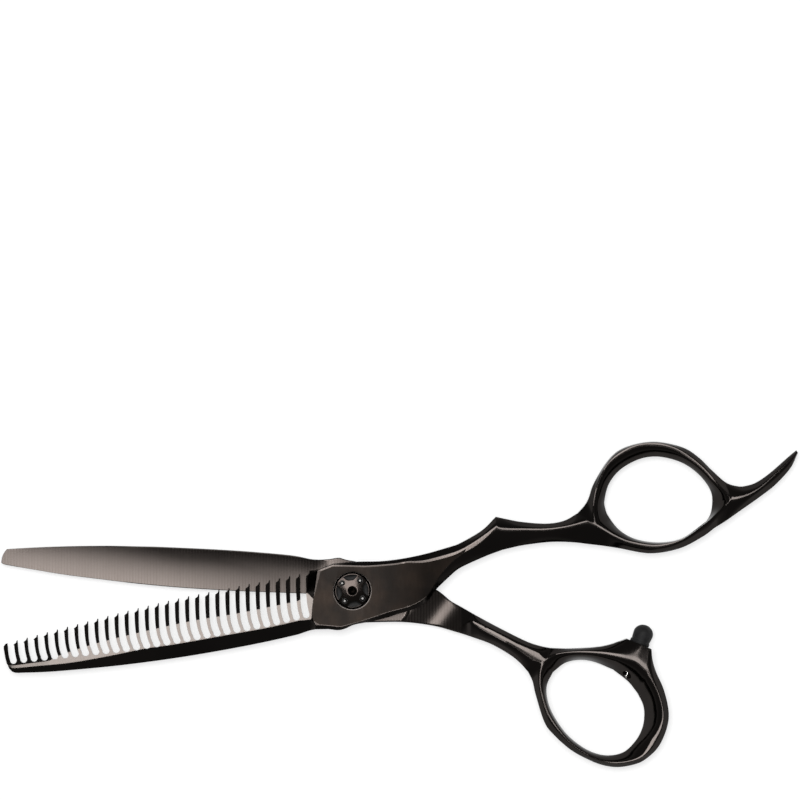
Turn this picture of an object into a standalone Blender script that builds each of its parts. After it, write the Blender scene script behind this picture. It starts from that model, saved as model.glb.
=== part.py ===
"""Hairdresser's thinning shears, lying flat and part open.

One half carries a comb blade and the finger ring with its tang, the other a plain cutting blade
and the thumb ring with its bumper. They turn on a stud held by a flush tension dial.

Frame: Z is the pivot's axis and the origin lies on it, at the rear face of the stud's head, which
is the plane the shears rest on. The blades point to -X, the handles to +X, and the dial faces +Z.
Dimensions are in millimetres, and each mesh is made in metres.
"""
import math

import bmesh
import bpy
import numpy as np
from mathutils import Matrix, Vector

MM = 0.001
OBJECT_NAME = "thinning_shears"

# --- Heights along the pivot's axis ---
REAR_FACE = 0.30            # outer face of the rear half at the pivot
RIDE_REAR = 3.45            # inner face of the rear half
RIDE_FRONT = 3.55           # inner face of the front half
FRONT_FACE = 6.85           # outer face of the front half at the pivot
RING_MIDDLE = 3.40          # middle plane of both finger rings
RING_HALF = 3.40            # half the thickness of a ring
SHANK_HALF = 3.10           # half the thickness of a shank where it meets its ring

# --- Pivot ---
STUD_HEAD_R = 3.80
STUD_HEAD_T = 1.00
STUD_R = 2.00
STUD_FLAT = 1.55            # distance from the axis to each of the stud's two flats
STUD_THREAD_R = 1.45
STUD_TOP = 6.45
SOCKET_R = 0.90             # corner radius of the hexagonal socket in the stud's end
SOCKET_DEPTH = 0.90
RUNNING_GAP = 0.04          # radial clearance of the stud in its bush
FIT_GAP = 0.05              # clearance between pieces that are fixed together
BUSH_R = 2.60
COUNTERBORE_R = 4.15
COUNTERBORE_FLOOR = 4.85
THRUST_WASHER = (4.90, 5.10)
WAVE_SPRING = (5.15, 5.55)
CLICK_PLATE = (5.60, 5.82)
DIAL = (5.92, 6.95)
DIAL_R = 3.83
DIAL_WEB = 6.50             # underside of the dial's face, above the end of the stud
DIAL_HOLE_R = 0.98          # the key hole through the dial's face
DIAL_DISH = 0.12            # depth of the dished face at its hole
BALL_CIRCLE = 2.80          # radius of the circle that the dial's four balls sit on
BALL_R = 0.52
BALL_HOLE_R = 0.62
BALL_ANGLE = 53.0
DETENT_R = 0.30
DETENT_COUNT = 12

# --- Comb ---
TEETH = 30
TOOTH_PITCH = 2.224
FIRST_TIP = -76.0           # X of the first tooth's prong
ROOT_ARC = 0.85             # height above a slot's root where its walls begin
LEFT_SWING = (0.95, 1.6)    # how far a slot's left wall leans out at its foot, and over what height
RIGHT_SWING = (1.40, 2.6)
TOOTH_TOP = 1.00            # width of a tooth at its top
SHORT_SWING = 0.38          # share of the lean that the end teeth lack
TOOTH_CREST = ((-0.92, -0.95), (-0.34, -0.50), (-0.20, 0.0))   # from a prong's right side

# --- Joints between blades and handles, and the seam between them ---
WELD_X = 24.0
WELD_GAP = 0.05

# --- Bumper ---
BUMPER_BASE = (63.25, -11.70)
BUMPER_AXIS = (0.3725, 0.928)
BUMPER_R = 2.20
BUMPER_LENGTH = 4.30
BUMPER_BORE_DEPTH = 2.60
STEM_R = 1.00
BOSS_R = 2.90
BOSS_ROOT_R = 3.10
BOSS_DEPTH = 5.50

ROUND = 40                  # segments of a turned piece

# --- Outlines in the XY plane, in mm, left to right ---
COMB_SPINE = ((-76.85, -12.95), (-75.8, -16.7), (-74.6, -18.0), (-72.0, -18.07), (-65, -17.75),
              (-51, -16.45), (-36.9, -14.55), (-22.8, -12.05), (-12.3, -9.75), (-8.8, -8.6),
              (-5.2, -8.45), (-3.0, -8.68), (-1.3, -8.25), (0.5, -7.45), (4.5, -6.7),
              (8.0, -5.8), (10.2, -5.05), (12.1, -4.55), (14.0, -3.85), (15.5, -3.0),
              (16.9, -1.85), (18.4, 0.2), (21.6, 3.31), (24.0, 5.15))
COMB_TIPS = ((-76.85, -12.35), (-76.0, -11.6), (-69.4, -9.8), (-51.5, -5.0), (-35.75, -1.2),
             (-11.3, 3.6), (-7.5, 4.6), (-4.3, 5.9), (0.5, 6.36), (7.5, 6.58), (14.6, 7.75),
             (21.6, 9.68), (24.0, 10.6))
SLOT_ROOTS = ((-74.7, -16.2), (-61.0, -14.7), (-49.6, -13.5), (-38.5, -11.7), (-29.6, -10.1),
              (-18.5, -8.1), (-9.8, -6.1))
BLADE_SPINE = ((-77.4, 6.5), (-77.25, 7.3), (-76.97, 8.0), (-76.45, 8.75), (-75.8, 9.13),
               (-65, 9.65), (-55, 9.82), (-47.5, 9.7), (-40.4, 9.5), (-26.4, 8.8), (-14, 7.77),
               (-8.8, 6.83), (-5.5, 6.85), (-3.0, 7.19), (-1.3, 6.72), (1.7, 6.2), (7.6, 4.9),
               (12.3, 3.4), (18.6, 0.1), (21.6, -2.28), (24.0, -3.65))
BLADE_EDGE = ((-77.4, 6.1), (-77.0, 5.8), (-75.6, 5.5), (-71.2, 4.75), (-63.3, 3.45),
              (-55.4, 2.45), (-47.5, 1.5), (-39.6, 0.75), (-31.6, 0.2), (-23.7, -0.2),
              (-10.5, -0.7), (-8.6, -1.0), (-7.2, -2.4), (-5.6, -4.6), (-3.6, -6.4),
              (-1.0, -7.0), (2.2, -7.08), (11, -6.98), (18.1, -7.88), (24.0, -9.5))

# --- Sections of the two blades: X, thickness, spine edge height, spine bevel width,
#     height of the other edge, width of the other bevel ---
COMB_SECTIONS = ((-76.85, 0.9, 0.6, 0.2, 0.5, 0.2), (-75.8, 1.3, 0.7, 1.1, 0.5, 3.6),
                 (-73.9, 1.35, 0.8, 1.1, 0.5, 4.6), (-63.3, 1.7, 0.9, 1.75, 0.5, 5.9),
                 (-45.7, 2.1, 1.1, 3.0, 0.5, 5.4), (-18.5, 2.4, 1.3, 3.0, 0.5, 5.8),
                 (-9.4, 2.6, 1.4, 2.8, 0.6, 5.8), (-7.4, 3.3, 2.4, 1.0, 2.4, 1.2),
                 (24.0, 3.3, 2.2, 1.2, 2.2, 1.2))
BLADE_SECTIONS = ((-77.4, 0.9, 0.6, 0.1, 0.3, 0.1), (-75.8, 1.2, 0.7, 0.9, 0.15, 1.4),
                  (-40.0, 1.9, 1.0, 1.1, 0.15, 2.4), (-11.0, 2.6, 1.4, 1.2, 0.15, 2.8),
                  (-8.0, 3.15, 2.1, 1.1, 2.0, 1.0), (24.0, 3.15, 2.0, 1.2, 2.0, 1.2))

# --- Rings: a centre, then the edge of the hole and the outer edge, both anticlockwise ---
FINGER_CENTRE = (67.4, 19.9)
FINGER_HOLE = ((79.4, 19.2), (78.9, 22.2), (76.6, 25.3), (73.4, 27.75), (69.8, 29.1), (66.2, 29.5),
               (62.6, 28.7), (58.9, 26.5), (56.5, 23.4), (55.6, 19.6), (56.3, 16.6), (58.9, 13.3),
               (62.4, 11.35), (67.2, 10.6), (72.0, 11.25), (76.0, 13.3), (78.7, 16.3))
FINGER_RING = ((82.1, 20.0), (79.2, 26.5), (76.2, 29.4), (72.6, 31.6), (66.5, 32.83), (60.5, 31.7),
               (56.7, 29.1), (53.3, 23.8), (52.0, 20.0), (52.3, 16.6), (54.6, 12.4), (58.6, 9.4),
               (65.6, 8.2), (72.1, 9.3), (77.2, 11.9), (80.6, 15.2))
THUMB_CENTRE = (53.7, -25.6)
THUMB_HOLE = ((64.4, -27.5), (64.1, -25.2), (62.9, -22.7), (60.8, -20.1), (57.5, -17.5),
              (53.3, -15.8), (49.9, -15.38), (46.8, -16.05), (44.2, -18.0), (42.85, -21.0),
              (43.1, -24.4), (44.5, -27.8), (47.2, -31.6), (50.4, -34.3), (53.6, -35.9),
              (56.8, -36.35), (60.0, -35.5), (62.6, -32.9), (64.0, -30.2))
THUMB_RING = ((69.66, -26.5), (68.6, -21.8), (66.9, -17.9), (65.6, -14.2), (63.6, -12.3),
              (60.3, -11.0), (56.8, -11.9), (53.3, -12.5), (47.5, -12.8), (43.0, -14.4),
              (39.9, -18.6), (40.4, -23.0), (42.3, -29.0), (44.5, -31.9), (48.0, -35.0), (51.5, -37.0),
              (55.0, -38.4), (58.6, -38.91), (62.5, -38.2), (64.9, -36.9), (67.5, -34.3),
              (69.3, -30.2))

# --- Shanks and tang: pairs of points on the two edges of each section ---
FINGER_SHANK = (((WELD_X, 10.6), (WELD_X, 5.15)), ((28.6, 13.3), (29.4, 7.6)),
                ((31.6, 16.25), (33.0, 8.95)), ((33.9, 15.75), (35.3, 9.5)),
                ((37.4, 15.1), (38.0, 10.05)), ((42.7, 14.73), (43.5, 10.7)),
                ((46.6, 15.35), (48.3, 10.65)), ((49.6, 17.0), (54.0, 10.0)),
                ((51.4, 19.1), (57.6, 9.45)))
THUMB_SHANK = (((WELD_X, -3.65), (WELD_X, -9.5)), ((28.6, -6.26), (26.5, -10.3)),
               ((33.9, -9.05), (30.5, -11.75)), ((38.3, -11.2), (34.5, -14.0)),
               ((42.7, -12.54), (37.6, -16.6)), ((46.0, -12.85), (39.5, -19.4)))
TANG = (((80.3, 25.3), (79.8, 13.8)), ((82.3, 23.8), (82.2, 15.2)), ((85.0, 22.96), (85.6, 17.7)),
        ((86.7, 23.05), (88.2, 19.5)), ((89.0, 23.8), (90.4, 21.1)), ((92.0, 25.86), (93.2, 23.3)),
        ((95.7, 29.1), (96.5, 26.9)), ((97.8, 30.9), (98.2, 30.3)))
TANG_HALF = (3.0, 2.7, 2.4, 2.1, 1.9, 1.6, 1.2, 0.4)


# --- Rigid bodies: both the thumb half and the dial turn about the Z axis ---
BODIES = {
    "finger_half": ("comb_blade", "finger_handle", "pivot_bush", "thrust_washer"),
    "thumb_half": ("cutting_blade", "thumb_handle", "pivot_stud", "wave_spring", "click_plate",
                   "bumper", "bumper_stem"),
    "dial": ("tension_dial", "dial_ball_1", "dial_ball_2", "dial_ball_3", "dial_ball_4"),
}


# ---------------------------------------------------------------- curves

def catmull(points, steps, closed=False):
    """A smooth curve through points, with a number of steps from each one to the next."""
    pts = [np.array(p, float) for p in points]
    if closed:
        ring = [pts[-1]] + pts + pts[:2]
    else:
        ring = [2 * pts[0] - pts[1]] + pts + [2 * pts[-1] - pts[-2]]
    out = []
    for a, b, c, d in zip(ring, ring[1:], ring[2:], ring[3:]):
        for k in range(steps):
            t = k / steps
            out.append(0.5 * (2 * b + (c - a) * t + (2 * a - 5 * b + 4 * c - d) * t * t
                              + (3 * b - a - 3 * c + d) * t ** 3))
    if not closed:
        out.append(pts[-1])
    return out


def height_at(outline, x):
    """The Y of an outline that runs left to right."""
    xs, ys = zip(*outline)
    return float(np.interp(x, xs, ys))


def ramp(x, start, end):
    """0 before start, 1 after end, and a smooth step between them."""
    t = min(max((x - start) / (end - start), 0.0), 1.0)
    return t * t * (3 - 2 * t)


# ---------------------------------------------------------------- scene and meshes

def clear_scene():
    for item in list(bpy.data.objects):
        bpy.data.objects.remove(item, do_unlink=True)


def new_collection(name):
    collection = bpy.data.collections.new(name)
    bpy.context.scene.collection.children.link(collection)
    return collection


def principled(name, colour, metallic, roughness):
    """A material with one Principled surface."""
    material = bpy.data.materials.new(name)
    material.use_nodes = True
    shader = material.node_tree.nodes["Principled BSDF"]
    shader.inputs["Base Color"].default_value = (*colour, 1.0)
    shader.inputs["Metallic"].default_value = metallic
    shader.inputs["Roughness"].default_value = roughness
    material.diffuse_color = (*colour, 1.0)
    return material


def finish_mesh(name, mesh_builder, collection):
    """Turn a bmesh into a named object in a collection."""
    bmesh.ops.recalc_face_normals(mesh_builder, faces=mesh_builder.faces)
    mesh = bpy.data.meshes.new(name)
    mesh_builder.to_mesh(mesh)
    mesh_builder.free()
    item = bpy.data.objects.new(name, mesh)
    collection.objects.link(item)
    return item


def make_cutter(item):
    item.hide_render = True
    item.display_type = "WIRE"
    return item


def boolean(target, other, operation):
    """Add an exact Boolean modifier to target."""
    modifier = target.modifiers.new(operation.lower(), "BOOLEAN")
    modifier.operation = operation
    modifier.solver = "EXACT"
    modifier.object = other
    make_cutter(other)


def shade(item, material, angle=35.0):
    item.data.materials.clear()
    item.data.materials.append(material)
    item.data.shade_smooth()
    item.data.set_sharp_from_angle(angle=math.radians(angle))


def loft(name, sections, collection, closed=False):
    """Skin a row of sections that have the same number of points. Open rows get end caps."""
    builder = bmesh.new()
    rings = [[builder.verts.new(Vector(point) * MM) for point in section] for section in sections]
    count = len(rings[0])
    spans = list(zip(rings, rings[1:]))
    if closed:
        spans.append((rings[-1], rings[0]))
    for near, far in spans:
        for i in range(count):
            j = (i + 1) % count
            builder.faces.new((near[i], near[j], far[j], far[i]))
    if not closed:
        builder.faces.new(rings[0])
        builder.faces.new(rings[-1])
    return finish_mesh(name, builder, collection)


def prism(name, outlines, bottom, top, collection):
    """Closed flat outlines extruded from bottom to top, by way of a filled 2D curve."""
    curve = bpy.data.curves.new(name, "CURVE")
    curve.dimensions = "2D"
    curve.fill_mode = "BOTH"
    curve.render_resolution_u = 0
    curve.extrude = (top - bottom) / 2 * MM
    for outline in outlines:
        spline = curve.splines.new("POLY")
        spline.points.add(len(outline) - 1)
        spline.use_cyclic_u = True
        for point, (x, y) in zip(spline.points, outline):
            point.co = (x * MM, y * MM, 0.0, 1.0)
    guide = bpy.data.objects.new(name, curve)
    guide.location.z = (top + bottom) / 2 * MM
    collection.objects.link(guide)
    bpy.context.view_layer.update()
    evaluated = guide.evaluated_get(bpy.context.evaluated_depsgraph_get())
    mesh = bpy.data.meshes.new_from_object(evaluated)
    place = guide.matrix_world.copy()
    bpy.data.objects.remove(guide, do_unlink=True)
    builder = bmesh.new()
    builder.from_mesh(mesh)
    bpy.data.meshes.remove(mesh)
    bmesh.ops.remove_doubles(builder, verts=builder.verts, dist=0.000001)
    item = finish_mesh(name, builder, collection)
    item.matrix_world = place
    return item


def turned(name, profile, collection, steps=ROUND):
    """A profile of (radius, height) pairs, top to bottom on its outer side, spun round Z."""
    mesh = bpy.data.meshes.new(name)
    verts = [(radius * MM, 0.0, height * MM) for radius, height in profile]
    edges = [(i, i + 1) for i in range(len(verts) - 1)]
    if profile[0][0] > 0.0:
        edges.append((len(verts) - 1, 0))
    mesh.from_pydata(verts, edges, [])
    item = bpy.data.objects.new(name, mesh)
    collection.objects.link(item)
    screw = item.modifiers.new("spin", "SCREW")
    screw.steps = steps
    screw.render_steps = steps
    screw.use_merge_vertices = True
    screw.merge_threshold = 0.000001
    screw.use_smooth_shade = True
    return item


def cylinder(name, radius, low, high, collection, steps=ROUND):
    return turned(name, ((0, high), (radius, high), (radius, low), (0, low)), collection, steps)


def ring(name, inner, outer, low, high, collection, steps=ROUND):
    profile = ((inner, high), (outer, high), (outer, low), (inner, low))
    return turned(name, profile, collection, steps)


def double_d(radius, flat, steps=ROUND):
    """The outline of a round bar with two flats, one on each side of the X axis."""
    points = []
    for k in range(steps):
        angle = 2 * math.pi * k / steps
        y = max(-flat, min(flat, radius * math.sin(angle)))
        points.append((radius * math.cos(angle), y))
    return points


def lay_along(item, base, direction, height):
    """Turn a piece made along Z so that it points along direction from base, at a height."""
    turn = Vector((direction[0], direction[1], 0.0)).to_track_quat("Z", "Y").to_matrix().to_4x4()
    place = Matrix.Translation(Vector((base[0], base[1], height)) * MM)
    item.matrix_world = place @ turn
    return item


# ---------------------------------------------------------------- sections

def blade_section(x, lower, upper, face, outward, values):
    """Six points: the flat inner face, two bevels and the outer face of a blade at X."""
    columns = list(zip(*values))
    thick, spine_h, spine_w, edge_h, edge_w = (float(np.interp(x, columns[0], columns[k]))
                                               for k in range(1, 6))
    if outward > 0:
        low_h, low_w, high_h, high_w = spine_h, spine_w, edge_h, edge_w
    else:
        low_h, low_w, high_h, high_w = edge_h, edge_w, spine_h, spine_w
    shape = ((lower, 0.0), (lower, low_h), (lower + low_w, thick), (upper - high_w, thick),
             (upper, high_h), (upper, 0.0))
    return [(x, y, face + outward * height) for y, height in shape]


def blade_body(name, lower, upper, face, outward, values, collection):
    """A blade and its pivot block, as sections from the tip to the seam with its handle."""
    stations = sorted({x for outline in (lower, upper) for x, _ in outline}
                      | {row[0] for row in values})
    end = WELD_X - WELD_GAP / 2
    stations = [x for x in stations if x < end] + [end]
    sections = [blade_section(x, height_at(lower, x), height_at(upper, x), face, outward, values)
                for x in stations]
    return loft(name, sections, collection)


def bar_section(first, second, middle, half, power=2.4, count=12):
    """A rounded section across a bar, from a point on one edge to a point on the other."""
    a, b = np.array(first, float), np.array(second, float)
    centre, reach = (a + b) / 2, (b - a) / 2
    section = []
    for k in range(count):
        angle = 2 * math.pi * k / count
        c, s = math.cos(angle), math.sin(angle)
        across = math.copysign(abs(c) ** (2 / power), c)
        up = math.copysign(abs(s) ** (2 / power), s)
        x, y = centre + reach * across
        section.append((x, y, middle + half * up))
    return section


def shank(name, pairs, thin_middle, collection):
    """The neck of a handle: half thick by the pivot, full thickness where it meets the ring."""
    first_x = pairs[0][0][0] + WELD_GAP / 2
    rows = [((first_x, pairs[0][0][1]), (first_x, pairs[0][1][1]))] + list(pairs[1:])
    sections = []
    for upper, lower in rows:
        grown = ramp(upper[0], WELD_X, 46.0)
        middle = thin_middle + (RING_MIDDLE - thin_middle) * grown
        half = 1.6 + (SHANK_HALF - 1.6) * grown
        sections.append(bar_section(upper, lower, middle, half))
    return loft(name, sections, collection)


def ring_body(name, centre, hole, outer, collection, count=60):
    """A finger ring: sections round the hole, each from the hole's edge to the outer edge."""
    headings = [2 * math.pi * k / count for k in range(count)]
    inner_edge = edge_points(centre, hole, headings)
    outer_edge = edge_points(centre, outer, headings)
    sections = [bar_section(inner, outside, RING_MIDDLE, RING_HALF)
                for inner, outside in zip(inner_edge, outer_edge)]
    return loft(name, sections, collection, closed=True)


def edge_points(centre, outline, headings):
    """The points where rays from a centre cross a smooth closed outline."""
    edge = [point - centre for point in catmull(outline, 6, closed=True)]
    angles = [math.atan2(y, x) for x, y in edge]
    reach = [math.hypot(x, y) for x, y in edge]
    radii = np.interp(headings, angles, reach, period=2 * math.pi)
    return [(centre[0] + r * math.cos(a), centre[1] + r * math.sin(a))
            for r, a in zip(radii, headings)]


def slot_outline(index):
    """One gap of the comb, from its round root to above the prong of the next tooth.

    Both walls lean to the right at the foot and straighten upwards; the right wall ends at the
    next tooth's shoulder, and the outline then follows that tooth's slanted crest to its prong.
    """
    left_tip = FIRST_TIP + TOOTH_PITCH * index
    next_tip = left_tip + TOOTH_PITCH
    middle = (TEETH - 1) / 2
    lean = 1 - SHORT_SWING * ((index - middle) / middle) ** 2
    root_y = height_at(SLOT_ROOTS, left_tip + TOOTH_PITCH * 0.8)
    tip_y = height_at(COMB_TIPS, left_tip)
    next_y = height_at(COMB_TIPS, next_tip)

    def wall(height, side):
        reach, fade = LEFT_SWING if side == "left" else RIGHT_SWING
        swing = lean * reach * math.exp(-(height - ROOT_ARC) / fade)
        return left_tip + swing if side == "left" else next_tip - TOOTH_TOP + swing

    shoulder_h = next_y + TOOTH_CREST[0][1] - root_y
    heights = np.linspace(ROOT_ARC, shoulder_h, 6)
    foot_left, foot_right = wall(ROOT_ARC, "left"), wall(ROOT_ARC, "right")
    radius = (foot_right - foot_left) / 2
    arc = [(foot_left + radius * (1 - math.cos(a)), root_y + ROOT_ARC * (1 - math.sin(a)))
           for a in np.linspace(0, math.pi, 7)[1:-1]]
    top = max(tip_y, next_y) + 1.5
    left = [(left_tip, top), (left_tip, tip_y - 0.3)]
    left += [(wall(h, "left"), root_y + h) for h in heights[:-1][::-1]]
    right = [(wall(h, "right"), root_y + h) for h in heights[:-1]]
    crest = [(next_tip + dx, next_y + dy) for dx, dy in TOOTH_CREST]
    return left + arc + right + crest + [(next_tip + TOOTH_CREST[-1][0], top)]


# ---------------------------------------------------------------- pieces

def front_half(parts, cutters, steel, polished):
    """The comb blade with its pivot block, and the handle with the finger ring and tang."""
    comb = blade_body("comb_blade", COMB_SPINE, COMB_TIPS, RIDE_FRONT, 1, COMB_SECTIONS, parts)
    slots = prism("comb_slots", [slot_outline(i) for i in range(TEETH)],
                  RIDE_FRONT - 1, FRONT_FACE + 1, cutters)
    boolean(comb, slots, "DIFFERENCE")
    boolean(comb, cylinder("front_bore", BUSH_R + FIT_GAP, RIDE_FRONT - 1, FRONT_FACE + 1,
                           cutters), "DIFFERENCE")
    boolean(comb, cylinder("front_counterbore", COUNTERBORE_R, COUNTERBORE_FLOOR,
                           FRONT_FACE + 1, cutters), "DIFFERENCE")
    shade(comb, steel)

    handle = shank("finger_handle", FINGER_SHANK, (RIDE_FRONT + FRONT_FACE) / 2, parts)
    loop = ring_body("finger_ring", FINGER_CENTRE, FINGER_HOLE, FINGER_RING, cutters)
    sections = [bar_section(upper, lower, RING_MIDDLE, half, power=2.1)
                for (upper, lower), half in zip(TANG, TANG_HALF)]
    tang = loft("tang", sections, cutters)
    boolean(handle, loop, "UNION")
    boolean(handle, tang, "UNION")
    shade(handle, polished)


def rear_half(parts, cutters, steel, polished):
    """The cutting blade with its pivot block, and the handle with the thumb ring and boss."""
    blade = blade_body("cutting_blade", BLADE_EDGE, BLADE_SPINE, RIDE_REAR, -1, BLADE_SECTIONS,
                       parts)
    keyway = prism("rear_keyway", [double_d(STUD_R + FIT_GAP, STUD_FLAT + FIT_GAP)],
                   REAR_FACE - 1, RIDE_REAR + 1, cutters)
    boolean(blade, keyway, "DIFFERENCE")
    boolean(blade, cylinder("rear_counterbore", STUD_HEAD_R + FIT_GAP, REAR_FACE - 1,
                            STUD_HEAD_T + FIT_GAP, cutters), "DIFFERENCE")
    shade(blade, steel)

    handle = shank("thumb_handle", THUMB_SHANK, (REAR_FACE + RIDE_REAR) / 2, parts)
    loop = ring_body("thumb_ring", THUMB_CENTRE, THUMB_HOLE, THUMB_RING, cutters)
    boolean(handle, loop, "UNION")
    boss_profile = ((0, 0), (BOSS_R, 0), (BOSS_ROOT_R, -BOSS_DEPTH), (0, -BOSS_DEPTH))
    boss = turned("bumper_boss", boss_profile, cutters, 24)
    boolean(handle, lay_along(boss, BUMPER_BASE, BUMPER_AXIS, RING_MIDDLE), "UNION")
    bore = cylinder("stem_bore", STEM_R + FIT_GAP, -12, 1, cutters, 20)
    boolean(handle, lay_along(bore, BUMPER_BASE, BUMPER_AXIS, RING_MIDDLE), "DIFFERENCE")
    shade(handle, polished)


def pivot(parts, cutters, steel, bronze, nylon, bright):
    """The stud, its bush and washers, the spring, the click plate and the tension dial."""
    stud = turned("pivot_stud", ((0, STUD_TOP), (STUD_THREAD_R - 0.1, STUD_TOP),
                                 (STUD_THREAD_R, STUD_TOP - 0.1),
                                 (STUD_THREAD_R, CLICK_PLATE[1] + FIT_GAP),
                                 (STUD_R, CLICK_PLATE[1] + FIT_GAP), (STUD_R, STUD_HEAD_T),
                                 (STUD_HEAD_R, STUD_HEAD_T), (STUD_HEAD_R, 0.3),
                                 (STUD_HEAD_R - 0.3, 0.0), (0, 0)), parts)
    for low, high, label in ((STUD_HEAD_T, (RIDE_REAR + RIDE_FRONT) / 2, "rear"),
                             (CLICK_PLATE[0] - 0.1, CLICK_PLATE[1] + 0.5, "front")):
        sleeve = prism(f"stud_flats_{label}", [double_d(STUD_R + 1, STUD_R + 1)], low, high,
                       cutters)
        core = prism(f"stud_core_{label}", [double_d(STUD_R + 0.5, STUD_FLAT)], low - 1,
                     high + 1, cutters)
        boolean(sleeve, core, "DIFFERENCE")
        boolean(stud, sleeve, "DIFFERENCE")
    boolean(stud, cylinder("stud_socket", SOCKET_R, STUD_TOP - SOCKET_DEPTH, STUD_TOP + 1,
                           cutters, 6), "DIFFERENCE")
    shade(stud, steel)

    shade(ring("pivot_bush", STUD_R + RUNNING_GAP, BUSH_R, RIDE_FRONT, COUNTERBORE_FLOOR, parts),
          bronze)
    shade(ring("thrust_washer", STUD_R + 0.1, COUNTERBORE_R - 0.1, *THRUST_WASHER, parts), nylon)
    wave_spring(parts, bright)

    plate = ring("click_plate", STUD_R + 0.6, DIAL_R, *CLICK_PLATE, parts)
    plate_disc(plate, cutters)
    shade(plate, bright)
    dial(parts, cutters, steel)
    for k in range(4):
        ball(parts, k, bright)


def wave_spring(parts, material, count=48, waves=3, gauge=0.16):
    """A flat ring that rises and falls three times on its way round."""
    low, high = WAVE_SPRING
    sections = []
    for k in range(count):
        angle = 2 * math.pi * k / count
        middle = (low + high) / 2 + (high - low - gauge) / 2 * math.sin(waves * angle)
        c, s = math.cos(angle), math.sin(angle)
        sections.append([(radius * c, radius * s, middle + side * gauge / 2)
                         for radius, side in ((2.4, -1), (3.7, -1), (3.7, 1), (2.4, 1))])
    shade(loft("wave_spring", sections, parts, closed=True), material)


def plate_disc(plate, cutters):
    """Close the click plate round the stud's flats and drill its ring of detents."""
    hub = prism("plate_hub", [double_d(STUD_R + 1.2, STUD_R + 1.2)], *CLICK_PLATE, cutters)
    keyway = prism("plate_keyway", [double_d(STUD_R + FIT_GAP, STUD_FLAT + FIT_GAP)],
                   CLICK_PLATE[0] - 0.5, CLICK_PLATE[1] + 0.5, cutters)
    boolean(plate, hub, "UNION")
    boolean(plate, keyway, "DIFFERENCE")
    outlines = []
    for k in range(DETENT_COUNT):
        angle = math.radians(BALL_ANGLE) + 2 * math.pi * k / DETENT_COUNT
        centre = (BALL_CIRCLE * math.cos(angle), BALL_CIRCLE * math.sin(angle))
        outlines.append([(centre[0] + DETENT_R * math.cos(a), centre[1] + DETENT_R * math.sin(a))
                         for a in np.linspace(0, 2 * math.pi, 10, endpoint=False)])
    detents = prism("plate_detents", outlines, CLICK_PLATE[0] - 0.5, CLICK_PLATE[1] + 0.5, cutters)
    boolean(plate, detents, "DIFFERENCE")


def dial(parts, cutters, material):
    """A nut with a key hole in its dished face, four ball holes and four scallops."""
    low, high = DIAL
    thread = STUD_THREAD_R + FIT_GAP
    profile = ((DIAL_HOLE_R, high - DIAL_DISH), (3.3, high - 0.03), (DIAL_R - 0.15, high),
               (DIAL_R, high - 0.15), (DIAL_R, low), (thread, low), (thread, DIAL_WEB),
               (DIAL_HOLE_R, DIAL_WEB))
    disc = turned("tension_dial", profile, parts)
    holes = []
    scallops = []
    for k in range(4):
        angle = math.radians(BALL_ANGLE + 90 * k)
        centre = (BALL_CIRCLE * math.cos(angle), BALL_CIRCLE * math.sin(angle))
        holes.append([(centre[0] + BALL_HOLE_R * math.cos(a), centre[1] + BALL_HOLE_R * math.sin(a))
                      for a in np.linspace(0, 2 * math.pi, 16, endpoint=False)])
        scallop = math.radians(BALL_ANGLE + 45 + 90 * k)
        scallops.append([(3.0 * math.cos(scallop + u) + 0.55 * v * math.cos(scallop),
                          3.0 * math.sin(scallop + u) + 0.55 * v * math.sin(scallop))
                         for u, v in ((-0.33, 0), (-0.2, -0.8), (0, -1), (0.2, -0.8), (0.33, 0),
                                      (0.2, 0.8), (0, 1), (-0.2, 0.8))])
    boolean(disc, prism("ball_holes", holes, low - 0.5, high + 0.5, cutters), "DIFFERENCE")
    boolean(disc, prism("dial_scallops", scallops, high - 0.35, high + 0.5, cutters), "DIFFERENCE")
    shade(disc, material)


def ball(parts, index, material):
    """A click ball in its hole in the dial."""
    angle = math.radians(BALL_ANGLE + 90 * index)
    builder = bmesh.new()
    bmesh.ops.create_uvsphere(builder, u_segments=14, v_segments=8, radius=BALL_R * MM)
    item = finish_mesh(f"dial_ball_{index + 1}", builder, parts)
    item.location = Vector((BALL_CIRCLE * math.cos(angle), BALL_CIRCLE * math.sin(angle),
                            CLICK_PLATE[1] + 0.02 + BALL_R)) * MM
    shade(item, material, 60.0)


def bumper_set(parts, rubber, bright):
    """The rubber stop on its boss, and the stem that holds it through the ring."""
    dome = [(BUMPER_R * math.sin(a), BUMPER_LENGTH - BUMPER_R * (1 - math.cos(a)) * 0.9)
            for a in np.linspace(0, math.pi / 2, 7)]
    bore = STEM_R + FIT_GAP
    profile = dome + [(BUMPER_R, 0.05), (bore, 0.05), (bore, BUMPER_BORE_DEPTH),
                      (0, BUMPER_BORE_DEPTH)]
    stop = turned("bumper", profile, parts, 24)
    shade(lay_along(stop, BUMPER_BASE, BUMPER_AXIS, RING_MIDDLE), rubber, 50.0)
    stem_top = BUMPER_BORE_DEPTH - FIT_GAP
    profile = ((0, stem_top), (STEM_R - 0.1, stem_top), (STEM_R, stem_top - 0.1), (STEM_R, -6.6),
               (STEM_R - 0.3, -6.9), (0, -6.9))
    stem = turned("bumper_stem", profile, parts, 20)
    shade(lay_along(stem, BUMPER_BASE, BUMPER_AXIS, RING_MIDDLE), bright)


def gather(name, nodes, collection):
    """Parent the nodes of one rigid body to an empty on the pivot's axis."""
    empty = bpy.data.objects.new(name, None)
    collection.objects.link(empty)
    for node in nodes:
        bpy.data.objects[node].parent = empty


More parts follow.
